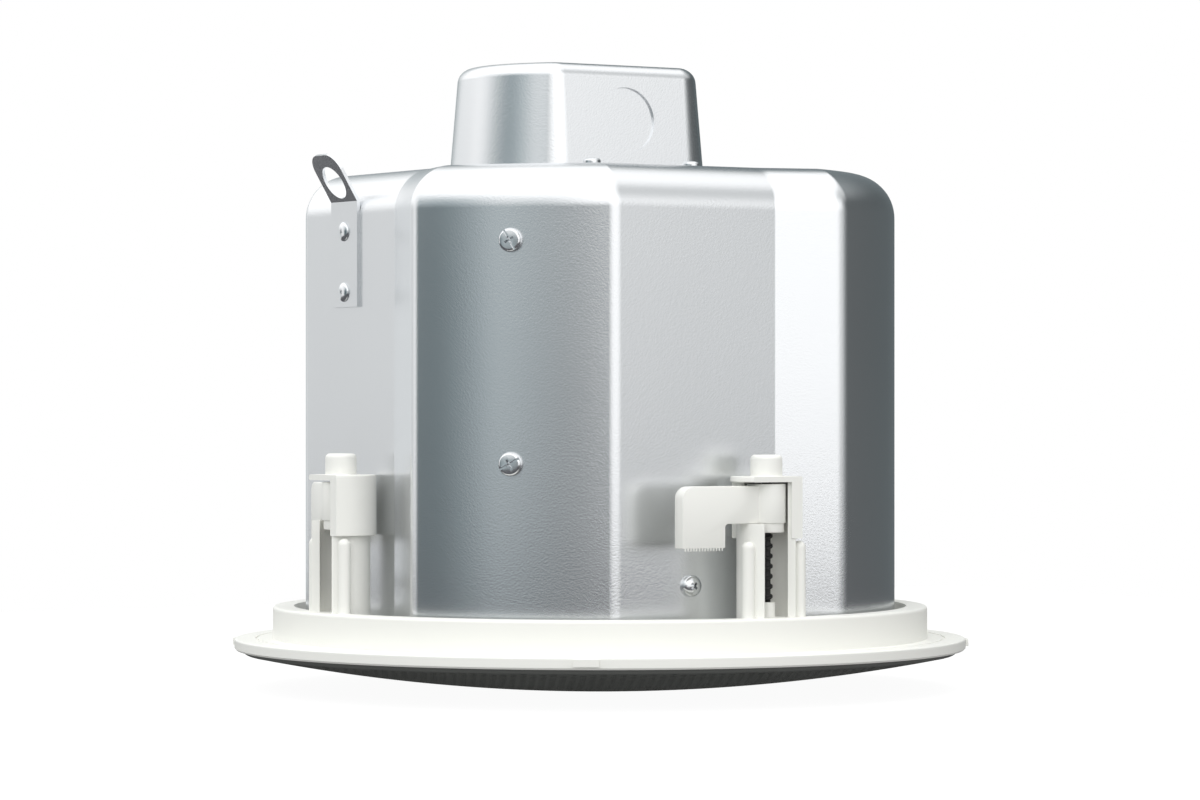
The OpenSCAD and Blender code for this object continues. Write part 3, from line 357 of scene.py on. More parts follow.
# %% [markdown]
# ### Moulded plastic
# The bezel, the clamp arms and the caps are moulded in warm white plastic. The mould is spark
# eroded, which leaves a very fine, even texture and takes the gloss down.

# %% Warm white plastic
def moulded_plastic():
    material, g = new_material("bezel_plastic")
    cloud = g.noise(25, 2.0)
    texture = g.noise(2600, 2.0, 0.7)
    tone = g.mix(cloud, (0.85, 0.85, 0.81, 1), (0.87, 0.87, 0.83, 1))
    rough = g.spread(texture, 0.3, 0.7, 0.42, 0.52)
    close(g, bump(g, texture, 0.012, 0.5), Base_Color=tone, Roughness=rough, Specular_Level=0.45)
    return material


# %% [markdown]
# ### Powder-coated grille
# The grille is punched steel under a dark powder coat. Powder flows out to a slight orange peel.

# %% Dark powder coat
def powder_coat():
    material, g = new_material("grille_paint")
    peel = g.noise(900, 2.0, 0.5)
    tone = g.mix(g.noise(40, 2.0), (0.120, 0.125, 0.118, 1), (0.148, 0.153, 0.145, 1))
    rough = g.spread(peel, 0.3, 0.7, 0.36, 0.48)
    close(g, bump(g, peel, 0.02, 0.5), Base_Color=tone, Roughness=rough)
    return material


# %% [markdown]
# ### The rest
# The pieces inside are seen only through the holes, or when someone opens the model up. They
# share one recipe: two close shades mixed by noise, a roughness that follows it, and a bump at
# the scale of the stuff, from paper fibre to the grain of ferrite.

# %% A recipe for the inner finishes
def speckled(name, dark, light, rough, scale, depth, metallic=0.0):
    material, g = new_material(name)
    speck = g.noise(scale, 4.0, 0.6)
    tone = g.mix(g.spread(speck, 0.3, 0.7, 0, 1), dark + (1,), light + (1,))
    rough_now = g.spread(speck, 0.3, 0.7, rough - 0.06, rough + 0.06)
    close(g, bump(g, speck, depth, 0.6), Base_Color=tone, Roughness=rough_now, Metallic=metallic)
    return material


FINISHES = {
    "zinc_steel": zinc_sheet(),
    "screw_zinc": bright_zinc(),
    "bezel_plastic": moulded_plastic(),
    "grille_paint": powder_coat(),
    "black_screw": speckled("black_screw", (0.003, 0.003, 0.003), (0.007, 0.007, 0.008), 0.42, 900, 0.01),
    # The foam's light grey is partly painted light: it is raised so that the deep, shaded gap between the can
    # and the neck looks brighter.
    "foam": speckled("foam", (0.30, 0.30, 0.29), (0.42, 0.42, 0.41), 0.9, 1400, 0.15),
    "felt": speckled("felt", (0.22, 0.22, 0.20), (0.36, 0.35, 0.33), 0.95, 700, 0.4),
    "black_plastic": speckled("black_plastic", (0.018, 0.018, 0.020), (0.026, 0.026, 0.028), 0.5, 1800, 0.02),
    "core_iron": speckled("core_iron", (0.10, 0.10, 0.11), (0.17, 0.17, 0.18), 0.55, 500, 0.05, 0.6),
    "coil_tape": speckled("coil_tape", (0.62, 0.42, 0.07), (0.70, 0.50, 0.10), 0.4, 300, 0.02),
    "copper_wire": speckled("copper_wire", (0.55, 0.24, 0.10), (0.70, 0.34, 0.15), 0.3, 1200, 0.05, 0.9),
    "board": speckled("board", (0.02, 0.12, 0.05), (0.03, 0.16, 0.07), 0.35, 400, 0.01),
    "capacitor_sleeve": speckled("capacitor_sleeve", (0.03, 0.035, 0.16), (0.04, 0.045, 0.20), 0.3, 200,
                                 0.01),
    "frame_paint": speckled("frame_paint", (0.020, 0.020, 0.022), (0.030, 0.030, 0.033), 0.42, 700, 0.02),
    "rubber": speckled("rubber", (0.014, 0.014, 0.014), (0.024, 0.024, 0.024), 0.62, 600, 0.03),
    "cone_paper": speckled("cone_paper", (0.022, 0.022, 0.022), (0.050, 0.050, 0.050), 0.85, 500, 0.12),
    "spider_cloth": speckled("spider_cloth", (0.50, 0.34, 0.10), (0.62, 0.45, 0.18), 0.8, 1500, 0.1),
    "ferrite": speckled("ferrite", (0.035, 0.035, 0.037), (0.060, 0.060, 0.063), 0.6, 800, 0.05),
    "plate_steel": speckled("plate_steel", (0.52, 0.53, 0.54), (0.64, 0.65, 0.66), 0.35, 600, 0.01, 1.0),
    "silk": speckled("silk", (0.025, 0.025, 0.028), (0.045, 0.045, 0.050), 0.6, 2200, 0.03),
}
print(len(FINISHES), "finishes")

# %% [markdown]
# Every solid of the frame says in its record which finish it has. Its material slots are filled
# from that, and pieces that replace a solid look the finish up in the same table.

# %% Dress the solids
SLOT_OF = {part["node"]: part["material_slot"] for part in frame["record"]["subparts"]}
for name, node in nodes.items():
    node.data.materials.clear()
    node.data.materials.append(FINISHES[SLOT_OF[name]])


def add_piece(name, mesh, body, node):
    """Puts a mesh in the scene in place of a solid, on a body, with that solid's finish."""
    piece = bpy.data.objects.new(name, mesh)
    bpy.context.scene.collection.objects.link(piece)
    mesh.materials.append(FINISHES[SLOT_OF[node]])
    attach(piece, body)
    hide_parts(node)
    return piece


print(len(SLOT_OF), "solids dressed")

# %% [markdown]
# ## Shaping tools
# Sheet metal and moulded pieces are mostly stacks of outlines. `heading` turns an angle into a
# direction, `arc` draws a bend, and `loft` joins outlines that have as many points each.

# %% Outlines and lofts
def heading(turn):
    """Direction at an angle in degrees from -Y towards +X."""
    return Vector((math.sin(math.radians(turn)), -math.cos(math.radians(turn))))


def arc(centre, r, start, end, steps):
    return [centre + r * heading(start + (end - start) * i / steps) for i in range(steps + 1)]


def rounded_corner(wall, big, r, turn, side, steps):
    """Corner where a flat wall meets a round one. Side is -1 before the wall and 1 after it."""
    lean = math.degrees(math.acos((wall - r) / (big - r))) * side
    centre = (big - r) * heading(turn + lean)
    start, end = (turn + lean, turn) if side < 0 else (turn, turn + lean)
    return arc(centre, r, start, end, steps)


def loft(bm, rings, close_start=False, close_end=False):
    """Joins closed rings of points in millimetres into a skin, and caps it where asked."""
    rows = [[bm.verts.new(Vector(p) * MM) for p in ring] for ring in rings]
    count = len(rows[0])
    for low, high in zip(rows, rows[1:]):
        for i in range(count):
            j = (i + 1) % count
            bm.faces.new((low[i], low[j], high[j], high[i]))
    if close_start:
        bm.faces.new(list(reversed(rows[0])))
    if close_end:
        bm.faces.new(rows[-1])
    return rows


def at_height(outline, z):
    return [(p[0], p[1], z) for p in outline]


def to_mesh(bm, name, sharp=35.0):
    """Turns a bmesh into a mesh that is smooth except at edges sharper than an angle."""
    bmesh.ops.recalc_face_normals(bm, faces=bm.faces)
    mesh = bpy.data.meshes.new(name)
    bm.to_mesh(mesh)
    bm.free()
    mesh.shade_smooth()
    mesh.set_sharp_from_angle(angle=math.radians(sharp))
    return mesh


def even_shading(piece):
    """Lets large flat faces keep their own normal, so that bends don't bleed into them."""
    weigh = piece.modifiers.new("even_shading", "WEIGHTED_NORMAL")
    weigh.keep_sharp = True
    weigh.weight = 100


# %% [markdown]
# ## The back can
# Seen from above the can is a pinwheel: four round faces, four flat faces where the clamps stand,
# and four step faces that lead from one to the next. A press draws it in one go, so every edge
# is a bend and the top closes in a large soft radius. It is lofted from the same outline, drawn
# further and further inwards, with many steps in each bend, because a metal surface shows every
# facet in its reflections.

# %% The can's outline
CAN_TOP, CAN_T, CAN_R, CAN_FLAT = 159.8, 1.2, 102.0, 89.0
CAN_FOOT, CAN_BEND, CAN_EDGE, CAN_HOLLOW = 1.2, 15.0, 8.5, 2.0
STEP_START, STEP_TURN = 12.7, 15.6
LEAST_EDGE = 1.0


def can_outline(inset):
    lean = math.radians(STEP_TURN)
    reach = Vector((STEP_START, -CAN_FLAT)).dot(heading(-STEP_TURN))
    r = max(CAN_EDGE - inset, LEAST_EDGE)
    big = CAN_R - inset
    flat, step = CAN_FLAT + CAN_HOLLOW, reach + CAN_HOLLOW
    hollow = Vector((-(step - math.cos(lean) * flat) / math.sin(lean), -flat))
    start = -STEP_TURN + math.degrees(math.acos((reach - inset - r) / (big - r)))
    end = 90 - math.degrees(math.acos((CAN_FLAT - inset - r) / (big - r)))
    quarter = rounded_corner(CAN_FLAT - inset, big, r, 0, -1, 10)
    quarter += [hollow - (CAN_HOLLOW + inset) * heading(-STEP_TURN * i / 4) for i in range(5)]
    quarter += rounded_corner(reach - inset, big, r, -STEP_TURN, 1, 10)
    quarter += [big * heading(start + (end - start) * i / 16) for i in range(1, 16)]
    return [Matrix.Rotation(math.radians(90 * k), 2) @ p for k in range(4) for p in quarter]


def can_skin(under, steps):
    r = CAN_BEND - under
    rings = [at_height(can_outline(under), CAN_FOOT)]
    for i in range(steps + 1):
        turn = math.radians(90 * i / steps)
        rings.append(at_height(can_outline(under + r * (1 - math.cos(turn))),
                               CAN_TOP - CAN_BEND + r * math.sin(turn)))
    return rings


print("the can's outline has", len(can_outline(0)), "points")

# %% Loft the can
bm = bmesh.new()
outside = loft(bm, can_skin(0, 16), close_end=True)
inside = loft(bm, can_skin(CAN_T, 8), close_end=True)
for i in range(len(outside[0])):
    j = (i + 1) % len(outside[0])
    bm.faces.new((outside[0][i], outside[0][j], inside[0][j], inside[0][i]))
can = add_piece("can_drawn", to_mesh(bm, "can_drawn"), "housing", "back_can")
even_shading(can)
print("can:", len(can.data.polygons), "faces")

# %% [markdown]
# ## The terminal cover
# A smaller drawn cover stands on the can. It is D-shaped: round, with one flat side that carries
# the knockout for a conduit. Its wall leans in a little, which lets it leave the press.

# %% The cover's outline
COVER_AT = Vector((-13.5, -6.3))
COVER_R, COVER_FLAT, COVER_H, COVER_T = 43.6, 33.5, 35.9, 1.0
COVER_EDGE, COVER_BEND, COVER_DRAFT = 11.0, 5.0, math.radians(4.8)
COVER_TOP = CAN_TOP + COVER_H


def cover_outline(inset):
    r = max(COVER_EDGE - inset, LEAST_EDGE)
    big, wall = COVER_R - inset, COVER_FLAT - inset
    lean = math.degrees(math.acos((wall - r) / (big - r)))
    ring = rounded_corner(wall, big, r, 0, -1, 10) + rounded_corner(wall, big, r, 0, 1, 10)
    ring += [big * heading(lean + (360 - 2 * lean) * i / 72) for i in range(1, 72)]
    return [p + COVER_AT for p in ring]


def cover_skin(under, steps):
    r = COVER_BEND - under
    start = COVER_TOP - COVER_BEND + r * math.sin(COVER_DRAFT)
    inset = under + (start - CAN_TOP) * math.tan(COVER_DRAFT)
    rings = [at_height(cover_outline(under), CAN_TOP)]
    for i in range(steps + 1):
        turn = COVER_DRAFT + (math.pi / 2 - COVER_DRAFT) * i / steps
        rings.append(at_height(cover_outline(inset + r * (math.cos(COVER_DRAFT) - math.cos(turn))),
                               COVER_TOP - COVER_BEND + r * math.sin(turn)))
    return rings


# %% Loft the cover
FOOT_T, FOOT_W, FOOT_REACH = 0.9, 62.0, 16.0
REAR_W, REAR_REACH = 16.0, 12.0


def rounded_plate(bm, x0, x1, y0, y1, z0, z1, r, round_low):
    """Plate with rounded corners on its low or high side in Y and a slight edge on top."""
    def ring(inset, z):
        points = []
        for cx, cy, start in ((x0 + r, y0 + r, -90), (x1 - r, y0 + r, 0), (x1 - r, y1 - r, 90),
                              (x0 + r, y1 - r, 180)):
            soft = (cy < (y0 + y1) / 2) == round_low
            corner = Vector((cx, cy))
            if soft:
                points += arc(corner, r - inset, start, start + 90, 6)
            else:
                out = Vector((r if cx > (x0 + x1) / 2 else -r, r if cy > (y0 + y1) / 2 else -r))
                points.append(corner + out)
        return at_height(points, z)
    edge = 0.25
    loft(bm, [ring(0, z0), ring(0, z1 - edge), ring(edge, z1)], True, True)


bm = bmesh.new()
outside = loft(bm, cover_skin(0, 10), close_end=True)
inside = loft(bm, cover_skin(COVER_T, 6), close_end=True)
for i in range(len(outside[0])):
    j = (i + 1) % len(outside[0])
    bm.faces.new((outside[0][i], outside[0][j], inside[0][j], inside[0][i]))
front = COVER_AT.y - COVER_FLAT
rear = COVER_AT.y + COVER_R
rounded_plate(bm, COVER_AT.x - FOOT_W / 2, COVER_AT.x + FOOT_W / 2, front - FOOT_REACH + 1.6, front + 0.6,
              CAN_TOP, CAN_TOP + FOOT_T, 5, True)
rounded_plate(bm, COVER_AT.x - REAR_W / 2, COVER_AT.x + REAR_W / 2, rear - 0.6, rear + REAR_REACH,
              CAN_TOP, CAN_TOP + FOOT_T, 4, False)
cover_mesh = to_mesh(bm, "cover_drawn")
print("cover:", len(cover_mesh.polygons), "faces")

# %% [markdown]
# The knockout is a round slug that the press has pushed in by a little less than the sheet. A
# short cylinder cuts it into the wall, and leans as the wall does.

# %% Press the knockout in
def combine(mesh, other, operation, name, sharp=35.0):
    """Joins, cuts or trims one closed mesh with another and returns the result as a new mesh."""
    pair = [bpy.data.objects.new(name, mesh), bpy.data.objects.new(name + "_tool", other)]
    for o in pair:
        bpy.context.scene.collection.objects.link(o)
    work = pair[0].modifiers.new("combine", "BOOLEAN")
    work.operation = operation
    work.solver = "EXACT"
    work.use_self = operation == "DIFFERENCE"
    work.object = pair[1]
    bpy.context.view_layer.update()
    made = bpy.data.meshes.new_from_object(pair[0].evaluated_get(bpy.context.evaluated_depsgraph_get()))
    made.name = name
    made.shade_smooth()
    made.set_sharp_from_angle(angle=math.radians(sharp))
    for o in pair:
        bpy.data.objects.remove(o)
    return made


SLUG_R, SLUG_Z, SLUG_DEPTH = 11.1, 17.0, 0.85
bm = bmesh.new()
loft(bm, [[(SLUG_R * math.cos(2 * math.pi * i / 72), SLUG_R * math.sin(2 * math.pi * i / 72), z)
           for i in range(72)] for z in (-SLUG_DEPTH, 3)], True, True)
slug_at = Vector((COVER_AT.x, COVER_AT.y - COVER_FLAT + SLUG_Z * math.tan(COVER_DRAFT), CAN_TOP + SLUG_Z))
lean = Matrix.Translation(slug_at * MM) @ Matrix.Rotation(math.pi / 2 - COVER_DRAFT, 4, "X")
bmesh.ops.transform(bm, matrix=lean, verts=bm.verts)
cover_mesh = combine(cover_mesh, to_mesh(bm, "slug"), "DIFFERENCE", "cover_drawn")
cover = add_piece("cover_drawn", cover_mesh, "housing", "terminal_cover")
even_shading(cover)
print("cover:", len(cover.data.polygons), "faces")

# %% [markdown]
# ## The grille
# The real grille is thin steel with thousands of small holes on a staggered grid, pressed into a
# dome, with its edge turned up. The sheet is drawn flat first: each hole sits in a six-sided
# cell, and the cells join into one sheet. The strip between the last cells and the round edge is
# filled, then the whole sheet is lifted onto a sphere, and Solidify gives it its thickness. That
# is how the press does it too.

# %% The grille's sizes
GRILLE_R, GRILLE_LOW, GRILLE_EDGE, GRILLE_T = 123.6, -17.76, -5.2, 0.9
GRILLE_SEAT = -2.3
HOLE_PITCH, HOLE_R, HOLE_SIDES = 3.7, 1.25, 10
HOLE_FIELD = 120.6
TURN_R = 1.6
GRILLE_RISE = GRILLE_EDGE - GRILLE_LOW
BALL_R = (GRILLE_R ** 2 + GRILLE_RISE ** 2) / (2 * GRILLE_RISE)
print("the dome is part of a ball of", round(BALL_R), "mm radius")

# %% One flat sheet of cells
def cell_faces():
    """Faces between a six-sided cell and the round hole in it, as indices into corners, then hole."""
    corners = [Vector((math.cos(math.radians(30 + 60 * i)), math.sin(math.radians(30 + 60 * i))))
               * HOLE_PITCH / math.sqrt(3) for i in range(6)]
    hole = [Vector((math.cos(math.radians(30 + 360 * i / HOLE_SIDES)),
                    math.sin(math.radians(30 + 360 * i / HOLE_SIDES)))) * HOLE_R
            for i in range(HOLE_SIDES)]
    faces, i, j = [], 0, 0
    while i < 6 or j < HOLE_SIDES:
        if j == HOLE_SIDES or (i < 6 and (i + 1) * HOLE_SIDES <= (j + 1) * 6):
            faces.append((i % 6, (i + 1) % 6, 6 + j % HOLE_SIDES))
            i += 1
        else:
            faces.append((i % 6, 6 + (j + 1) % HOLE_SIDES, 6 + j % HOLE_SIDES))
            j += 1
    return corners + hole, faces


def flat_sheet():
    points, faces, places = [], [], {}
    cell, pattern = cell_faces()
    row_gap = HOLE_PITCH * math.sqrt(3) / 2
    rows = int(HOLE_FIELD / row_gap)
    holes = 0
    for row in range(-rows, rows + 1):
        for column in range(-rows - 2, rows + 3):
            centre = Vector(((column + (row % 2) / 2) * HOLE_PITCH, row * row_gap))
            if centre.length > HOLE_FIELD:
                continue
            holes += 1
            index = []
            for p in cell:
                key = (round((centre.x + p.x) * 100), round((centre.y + p.y) * 100))
                if key not in places:
                    places[key] = len(points)
                    points.append(centre + p)
                index.append(places[key])
            faces += [tuple(index[i] for i in face) for face in pattern]
    return points, faces, holes


sheet_points, sheet_faces, hole_count = flat_sheet()
print(hole_count, "holes,", len(sheet_faces), "faces in the flat sheet")

# %% Fill the border, turn the edge up and lift the sheet onto the ball
def lift(p):
    """Height of the dome's outer face at a place in the flat sheet."""
    return GRILLE_LOW + BALL_R - math.sqrt(BALL_R ** 2 - p.x ** 2 - p.y ** 2)


bm = bmesh.new()
verts = [bm.verts.new((p.x, p.y, 0)) for p in sheet_points]
for face in sheet_faces:
    bm.faces.new([verts[i] for i in face])
bm.edges.ensure_lookup_table()
edge_of_field = [e for e in bm.edges if e.is_boundary
                 and min((e.verts[0].co).length, (e.verts[1].co).length) > HOLE_FIELD - HOLE_PITCH * 1.2
                 and e.calc_length() > HOLE_PITCH * 0.5]
RIM_STEPS = 240
border = [bm.verts.new((*((GRILLE_R - TURN_R) * heading(360 * i / RIM_STEPS)), 0)) for i in range(RIM_STEPS)]
border_edges = [bm.edges.new((border[i], border[(i + 1) % RIM_STEPS])) for i in range(RIM_STEPS)]
bmesh.ops.triangle_fill(bm, use_beauty=True, edges=edge_of_field + border_edges)
print(len(edge_of_field), "edges round the field of holes")

for v in bm.verts:
    v.co.z = lift(v.co)
bend_centre = Vector((GRILLE_R - TURN_R, lift(Vector((GRILLE_R - TURN_R, 0, 0))) + TURN_R))
previous = border
profile = [tuple(bend_centre + TURN_R * heading(a)) for a in (20, 40, 60, 75, 90)] + [(GRILLE_R, GRILLE_SEAT)]
for r, z in profile:
    row = [bm.verts.new((*(r * heading(360 * i / RIM_STEPS)), z)) for i in range(RIM_STEPS)]
    for i in range(RIM_STEPS):
        j = (i + 1) % RIM_STEPS
        bm.faces.new((previous[i], previous[j], row[j], row[i]))
    previous = row
for v in bm.verts:
    v.co *= MM
mesh = bpy.data.meshes.new("grille_sheet")
bmesh.ops.recalc_face_normals(bm, faces=bm.faces)
bm.to_mesh(mesh)
bm.free()
if mesh.polygons[0].normal.z > 0:
    mesh.flip_normals()
grille = add_piece("grille_sheet", mesh, "housing", "grille")
thick = grille.modifiers.new("thickness", "SOLIDIFY")
thick.thickness = GRILLE_T * MM
thick.offset = -1
print("grille:", len(mesh.polygons), "faces on its outer side")

# %% [markdown]
# ## The seismic tab
# A wire to the building's frame is tied to this strap. It is cut flat, with a round hole in its
# leaf, and then bent. So the mesh is cut flat too, sliced across where the bend will be, and each
# slice is carried round the bend.

# %% Cut flat, then bend
TAB_SIDE, TAB_W, TAB_T = 20.3, 18.2, 1.1
TAB_LOW, TAB_BEND_Z, TAB_LEAF, TAB_LEAN = 113.7, 149.8, 18.3, math.radians(30.8)
TAB_TIP_R, TAB_HOLE_R, TAB_HOLE_UP, TAB_BEND_R = 6.0, 6.1, 7.7, 1.2


def flat_tab():
    """The strap before bending: along X from the bend, across Y, thick in Z."""
    half, low = TAB_W / 2, TAB_LOW - TAB_BEND_Z
    along, across = TAB_LEAF - TAB_TIP_R, half - TAB_TIP_R
    outline = [Vector((low, -half))] + arc(Vector((along, -across)), TAB_TIP_R, 0, 90, 10)
    outline += arc(Vector((along, across)), TAB_TIP_R, 90, 180, 10) + [Vector((low, half))]
    bm = bmesh.new()
    loft(bm, [at_height(outline, z) for z in (0, TAB_T)], True, True)
    strip = to_mesh(bm, "strip", 30)
    bm = bmesh.new()
    loft(bm, [at_height([Vector((TAB_HOLE_UP, 0)) + TAB_HOLE_R * heading(360 * i / 48) for i in range(48)], z)
              for z in (-1, TAB_T + 1)], True, True)
    return combine(strip, to_mesh(bm, "hole"), "DIFFERENCE", "seismic_strap", 30)


strip = flat_tab()
bm = bmesh.new()
bm.from_mesh(strip)
arc_len = TAB_BEND_R * TAB_LEAN
for i in range(7):
    cut = (-arc_len / 2 + arc_len * i / 6) * MM
    bmesh.ops.bisect_plane(bm, geom=bm.verts[:] + bm.edges[:] + bm.faces[:], plane_co=(cut, 0, 0),
                           plane_no=(1, 0, 0))
for v in bm.verts:
    along, side, up = v.co.x / MM + arc_len / 2, v.co.y, v.co.z / MM
    turn = min(max(along / TAB_BEND_R, 0), TAB_LEAN)
    out = TAB_BEND_R - (TAB_BEND_R - up) * math.cos(turn)
    rise = (TAB_BEND_R - up) * math.sin(turn)
    rest = min(along, 0) + max(along - arc_len, 0)
    out, rise = out + rest * math.sin(turn), rise + rest * math.cos(turn)
    v.co = Vector((-(CAN_FLAT + out) * MM, side + TAB_SIDE * MM, (TAB_BEND_Z - arc_len / 2 + rise) * MM))
bmesh.ops.recalc_face_normals(bm, faces=bm.faces)
bm.to_mesh(strip)
bm.free()
strip.shade_smooth()
strip.set_sharp_from_angle(angle=math.radians(30))
tab = add_piece("seismic_strap", strip, "housing", "seismic_tab")
print("seismic tab:", len(strip.polygons), "faces")

# %% [markdown]
# ## Screws
# A pan head is a low dome on a short straight side. The recess is cut with a Boolean, because it
# has sharp walls that meet the dome in curves, and cutting is how a die makes it. Each kind of
# screw is made once and copied to its places.

# %% Heads with a recess
def revolve(bm, profile, steps=40):
    """Turns a profile of (radius, height) pairs about Z. Ends on the axis are closed."""
    rings = [[(r * math.cos(2 * math.pi * i / steps), r * math.sin(2 * math.pi * i / steps), z)
              for i in range(steps)] for r, z in profile]
    return loft(bm, rings, True, True)


def cross_cutter(bm, arm, width, depth, top, turn, slot=0.0):
    """A tapered cross, and a long slot where the screw also takes a flat driver."""
    for k in range(2):
        angle = math.radians(turn + 90 * k)
        along = Vector((math.cos(angle), math.sin(angle)))
        across = Vector((-math.sin(angle), math.cos(angle)))

        def outline(reach, wide, z):
            return at_height([along * a * reach + across * b * wide
                              for a, b in ((-1, -1), (1, -1), (1, 1), (-1, 1))], z)
        # The arms differ a hair in depth, because a Boolean is unsure about faces that coincide
        hair = 0.0007 * k
        loft(bm, [outline(arm * 0.45, width * 0.32, top - depth - hair),
                  outline(arm, width * 0.5, top + 1 + hair)], True, True)
        if slot and k == 0:
            loft(bm, [outline(slot, width * 0.45, z) for z in (top - depth * 0.42, top + 1.02)], True, True)


def screw_mesh(name, head_r, head_h, shank_r, shank_len, turn=0.0, slot=False, rise=0.35, recess=0.54,
               flat=0.0):
    """One screw with its head on z = 0.

    Rise is the share of the head's height that is straight, recess the reach of the cross and
    flat the part of the top that is flat, both as shares of the head's radius.
    """
    bm = bmesh.new()
    side = max(0.14, head_h * rise)
    dome = [(head_r * (flat + (1 - flat) * math.cos(math.radians(a))),
             side + (head_h - side) * math.sin(math.radians(a))) for a in range(0, 90, 9)]
    revolve(bm, [(shank_r, -shank_len), (shank_r, 0), (head_r - 0.12, 0), (head_r, 0.12)] + dome
            + [(head_r * 0.06, head_h)])
    head = to_mesh(bm, "head")
    bm = bmesh.new()
    cross_cutter(bm, head_r * recess, head_r * (0.37 if slot else 0.52) * recess, head_h * 0.62, head_h, turn,
                 head_r * 1.2 if slot else 0.0)
    return combine(head, to_mesh(bm, "cutter"), "DIFFERENCE", name)


def place_screws(name, kind, places, body, node):
    """Copies one screw to several places. A place is a point in millimetres and a direction out."""
    bm = bmesh.new()
    for at, out, turn in places:
        start = len(bm.verts)
        bm.from_mesh(kind)
        bm.verts.ensure_lookup_table()
        spin = Matrix.Rotation(math.radians(turn), 4, "Z")
        stand = Vector(out).to_track_quat("Z", "Y").to_matrix().to_4x4()
        move = Matrix.Translation(Vector(at) * MM) @ stand @ spin
        bmesh.ops.transform(bm, matrix=move, verts=bm.verts[start:])
    piece = add_piece(name, to_mesh(bm, name, 30), body, node)
    print(name, len(piece.data.polygons), "faces")
    return piece


def on_flat(k, side, z, out):
    """Place and direction on the flat face of clamp k, sideways from its middle."""
    spin = Matrix.Rotation(math.radians(90 * (k - 1)), 3, "Z")
    return spin @ Vector((side, -out, z)), spin @ Vector((0, -1, 0))


# %% The small screws
foot_kind = screw_mesh("foot_screw", 3.55, 2.3, 1.75, 9)
place_screws("can_screw_set", foot_kind,
             [(*on_flat(k, -20.8, 21.2, CAN_FLAT), 18 + 31 * k) for k in range(1, 5)],
             "housing", "can_screws")
tab_kind = screw_mesh("tab_screw", 3.3, 1.3, 1.7, 7, rise=0.1, recess=0.34)
place_screws("tab_screw_set", tab_kind,
             [(*on_flat(4, -TAB_SIDE, z, CAN_FLAT + TAB_T), turn) for z, turn in ((118.8, 40), (139.4, 62))],
             "housing", "seismic_tab_screws")
cover_kind = screw_mesh("cover_screw", 3.0, 2.1, 1.5, 5, rise=0.5, flat=0.6)
place_screws("cover_screw_set", cover_kind,
             [(Vector((x, y, CAN_TOP + FOOT_T)), Vector((0, 0, 1)), turn)
              for x, y, turn in ((-34.0, -49, 10), (5.6, -49, 55), (-13.5, 43.78, 30))],
             "housing", "terminal_cover_screws")
TRANS = heading(-48.6)
slotted_kind = screw_mesh("slotted_screw", 3.95, 2.2, 2, 9, slot=True, flat=0.7)
place_screws("transformer_screw_set", slotted_kind,
             [(Vector((*(TRANS * CAN_R), z)), Vector((*TRANS, 0)), turn)
              for z, turn in ((61.3, 30), (134.1, 120))],
             "housing", "transformer_screws")

# %% [markdown]
# ## The long clamp screws
# These are black and coarse, and one of them shows in its slot. A thread is a height over a
# cylinder: where the point lies between two crests depends on its height and its angle, so one
# formula shapes the whole screw.

# %% Threads
CLAMP_R = 102.4
SCREW_LOW, SCREW_HIGH = 2.8, 61.295


def clamp_screw_mesh(name):
    outer, core, pitch, steps, per_pitch = 2.10, 1.40, 3.3, 24, 20
    rows = int((SCREW_HIGH - SCREW_LOW) / pitch * per_pitch)
    rings = []
    for row in range(rows + 1):
        z = SCREW_LOW + (SCREW_HIGH - SCREW_LOW) * row / rows
        ring = []
        for i in range(steps):
            phase = ((z / pitch) - i / steps) % 1
            crest = max(0.0, 1 - abs(phase - 0.5) / 0.24)
            fade = min(1.0, (SCREW_HIGH - z) / 3 + 0.2)
            r = core + (outer - core) * min(1.0, crest * 1.8) * fade
            ring.append((r * math.cos(2 * math.pi * i / steps), r * math.sin(2 * math.pi * i / steps), z))
        rings.append(ring)
    bm = bmesh.new()
    loft(bm, rings, True, True)
    return bm


for k in range(1, 5):
    bm = clamp_screw_mesh("clamp_screw")
    head = screw_mesh("clamp_head", 4, 2.6, 2.0, 1)
    start = len(bm.verts)
    bm.from_mesh(head)
    bm.verts.ensure_lookup_table()
    flip = Matrix.Translation((0, 0, SCREW_LOW * MM)) @ Matrix.Rotation(math.pi, 4, "X")
    bmesh.ops.transform(bm, matrix=flip, verts=bm.verts[start:])
    at = CLAMP_R * MM * heading(90 * (k - 1))
    bmesh.ops.transform(bm, matrix=Matrix.Translation((*at, 0)), verts=bm.verts)
    add_piece(f"threaded_screw_{k}", to_mesh(bm, f"threaded_screw_{k}", 40), f"screw_{k}", f"clamp_screw_{k}")
print("four clamp screws")

# %% [markdown]
# ## The swing arms
# An arm is a moulded dog: a flat beam with a foot that bites into the ceiling board, a hub and a
# collar round the screw. Moulded edges are never quite sharp, so each shell gets a small bevel.
# The bite is a row of teeth on the foot's front edge. An arm stands on its clamp's own axis and is
# turned to where it is parked.

# %% One arm
ARM_Z, ARM_TOP, ARM_FOOT, ARM_REACH = 41.85, 54.1, 34.1, 34.9
HUB_TOP = 54.7
ARM_FRONT, ARM_BACK, FOOT_LEN = -3.5, 1.5, 16.5
TOOTH_PITCH, TOOTH_H, TOOTH_T = 1.1, 0.9, 0.35
HUB_R, COLLAR_R, COLLAR_Z, BORE_R = 6.35, 5.8, 38.8, 2.2
ARM_LEAN = 17.5


def soften(bm, width, above=40.0):
    """Bevels the edges of a mesh that are sharper than an angle. The width is in millimetres."""
    edges = [e for e in bm.edges if len(e.link_faces) == 2 and math.degrees(e.calc_face_angle(0)) > above]
    bmesh.ops.bevel(bm, geom=edges, offset=width * MM, offset_type="OFFSET", segments=2, profile=0.5,
                    affect="EDGES", clamp_overlap=True)


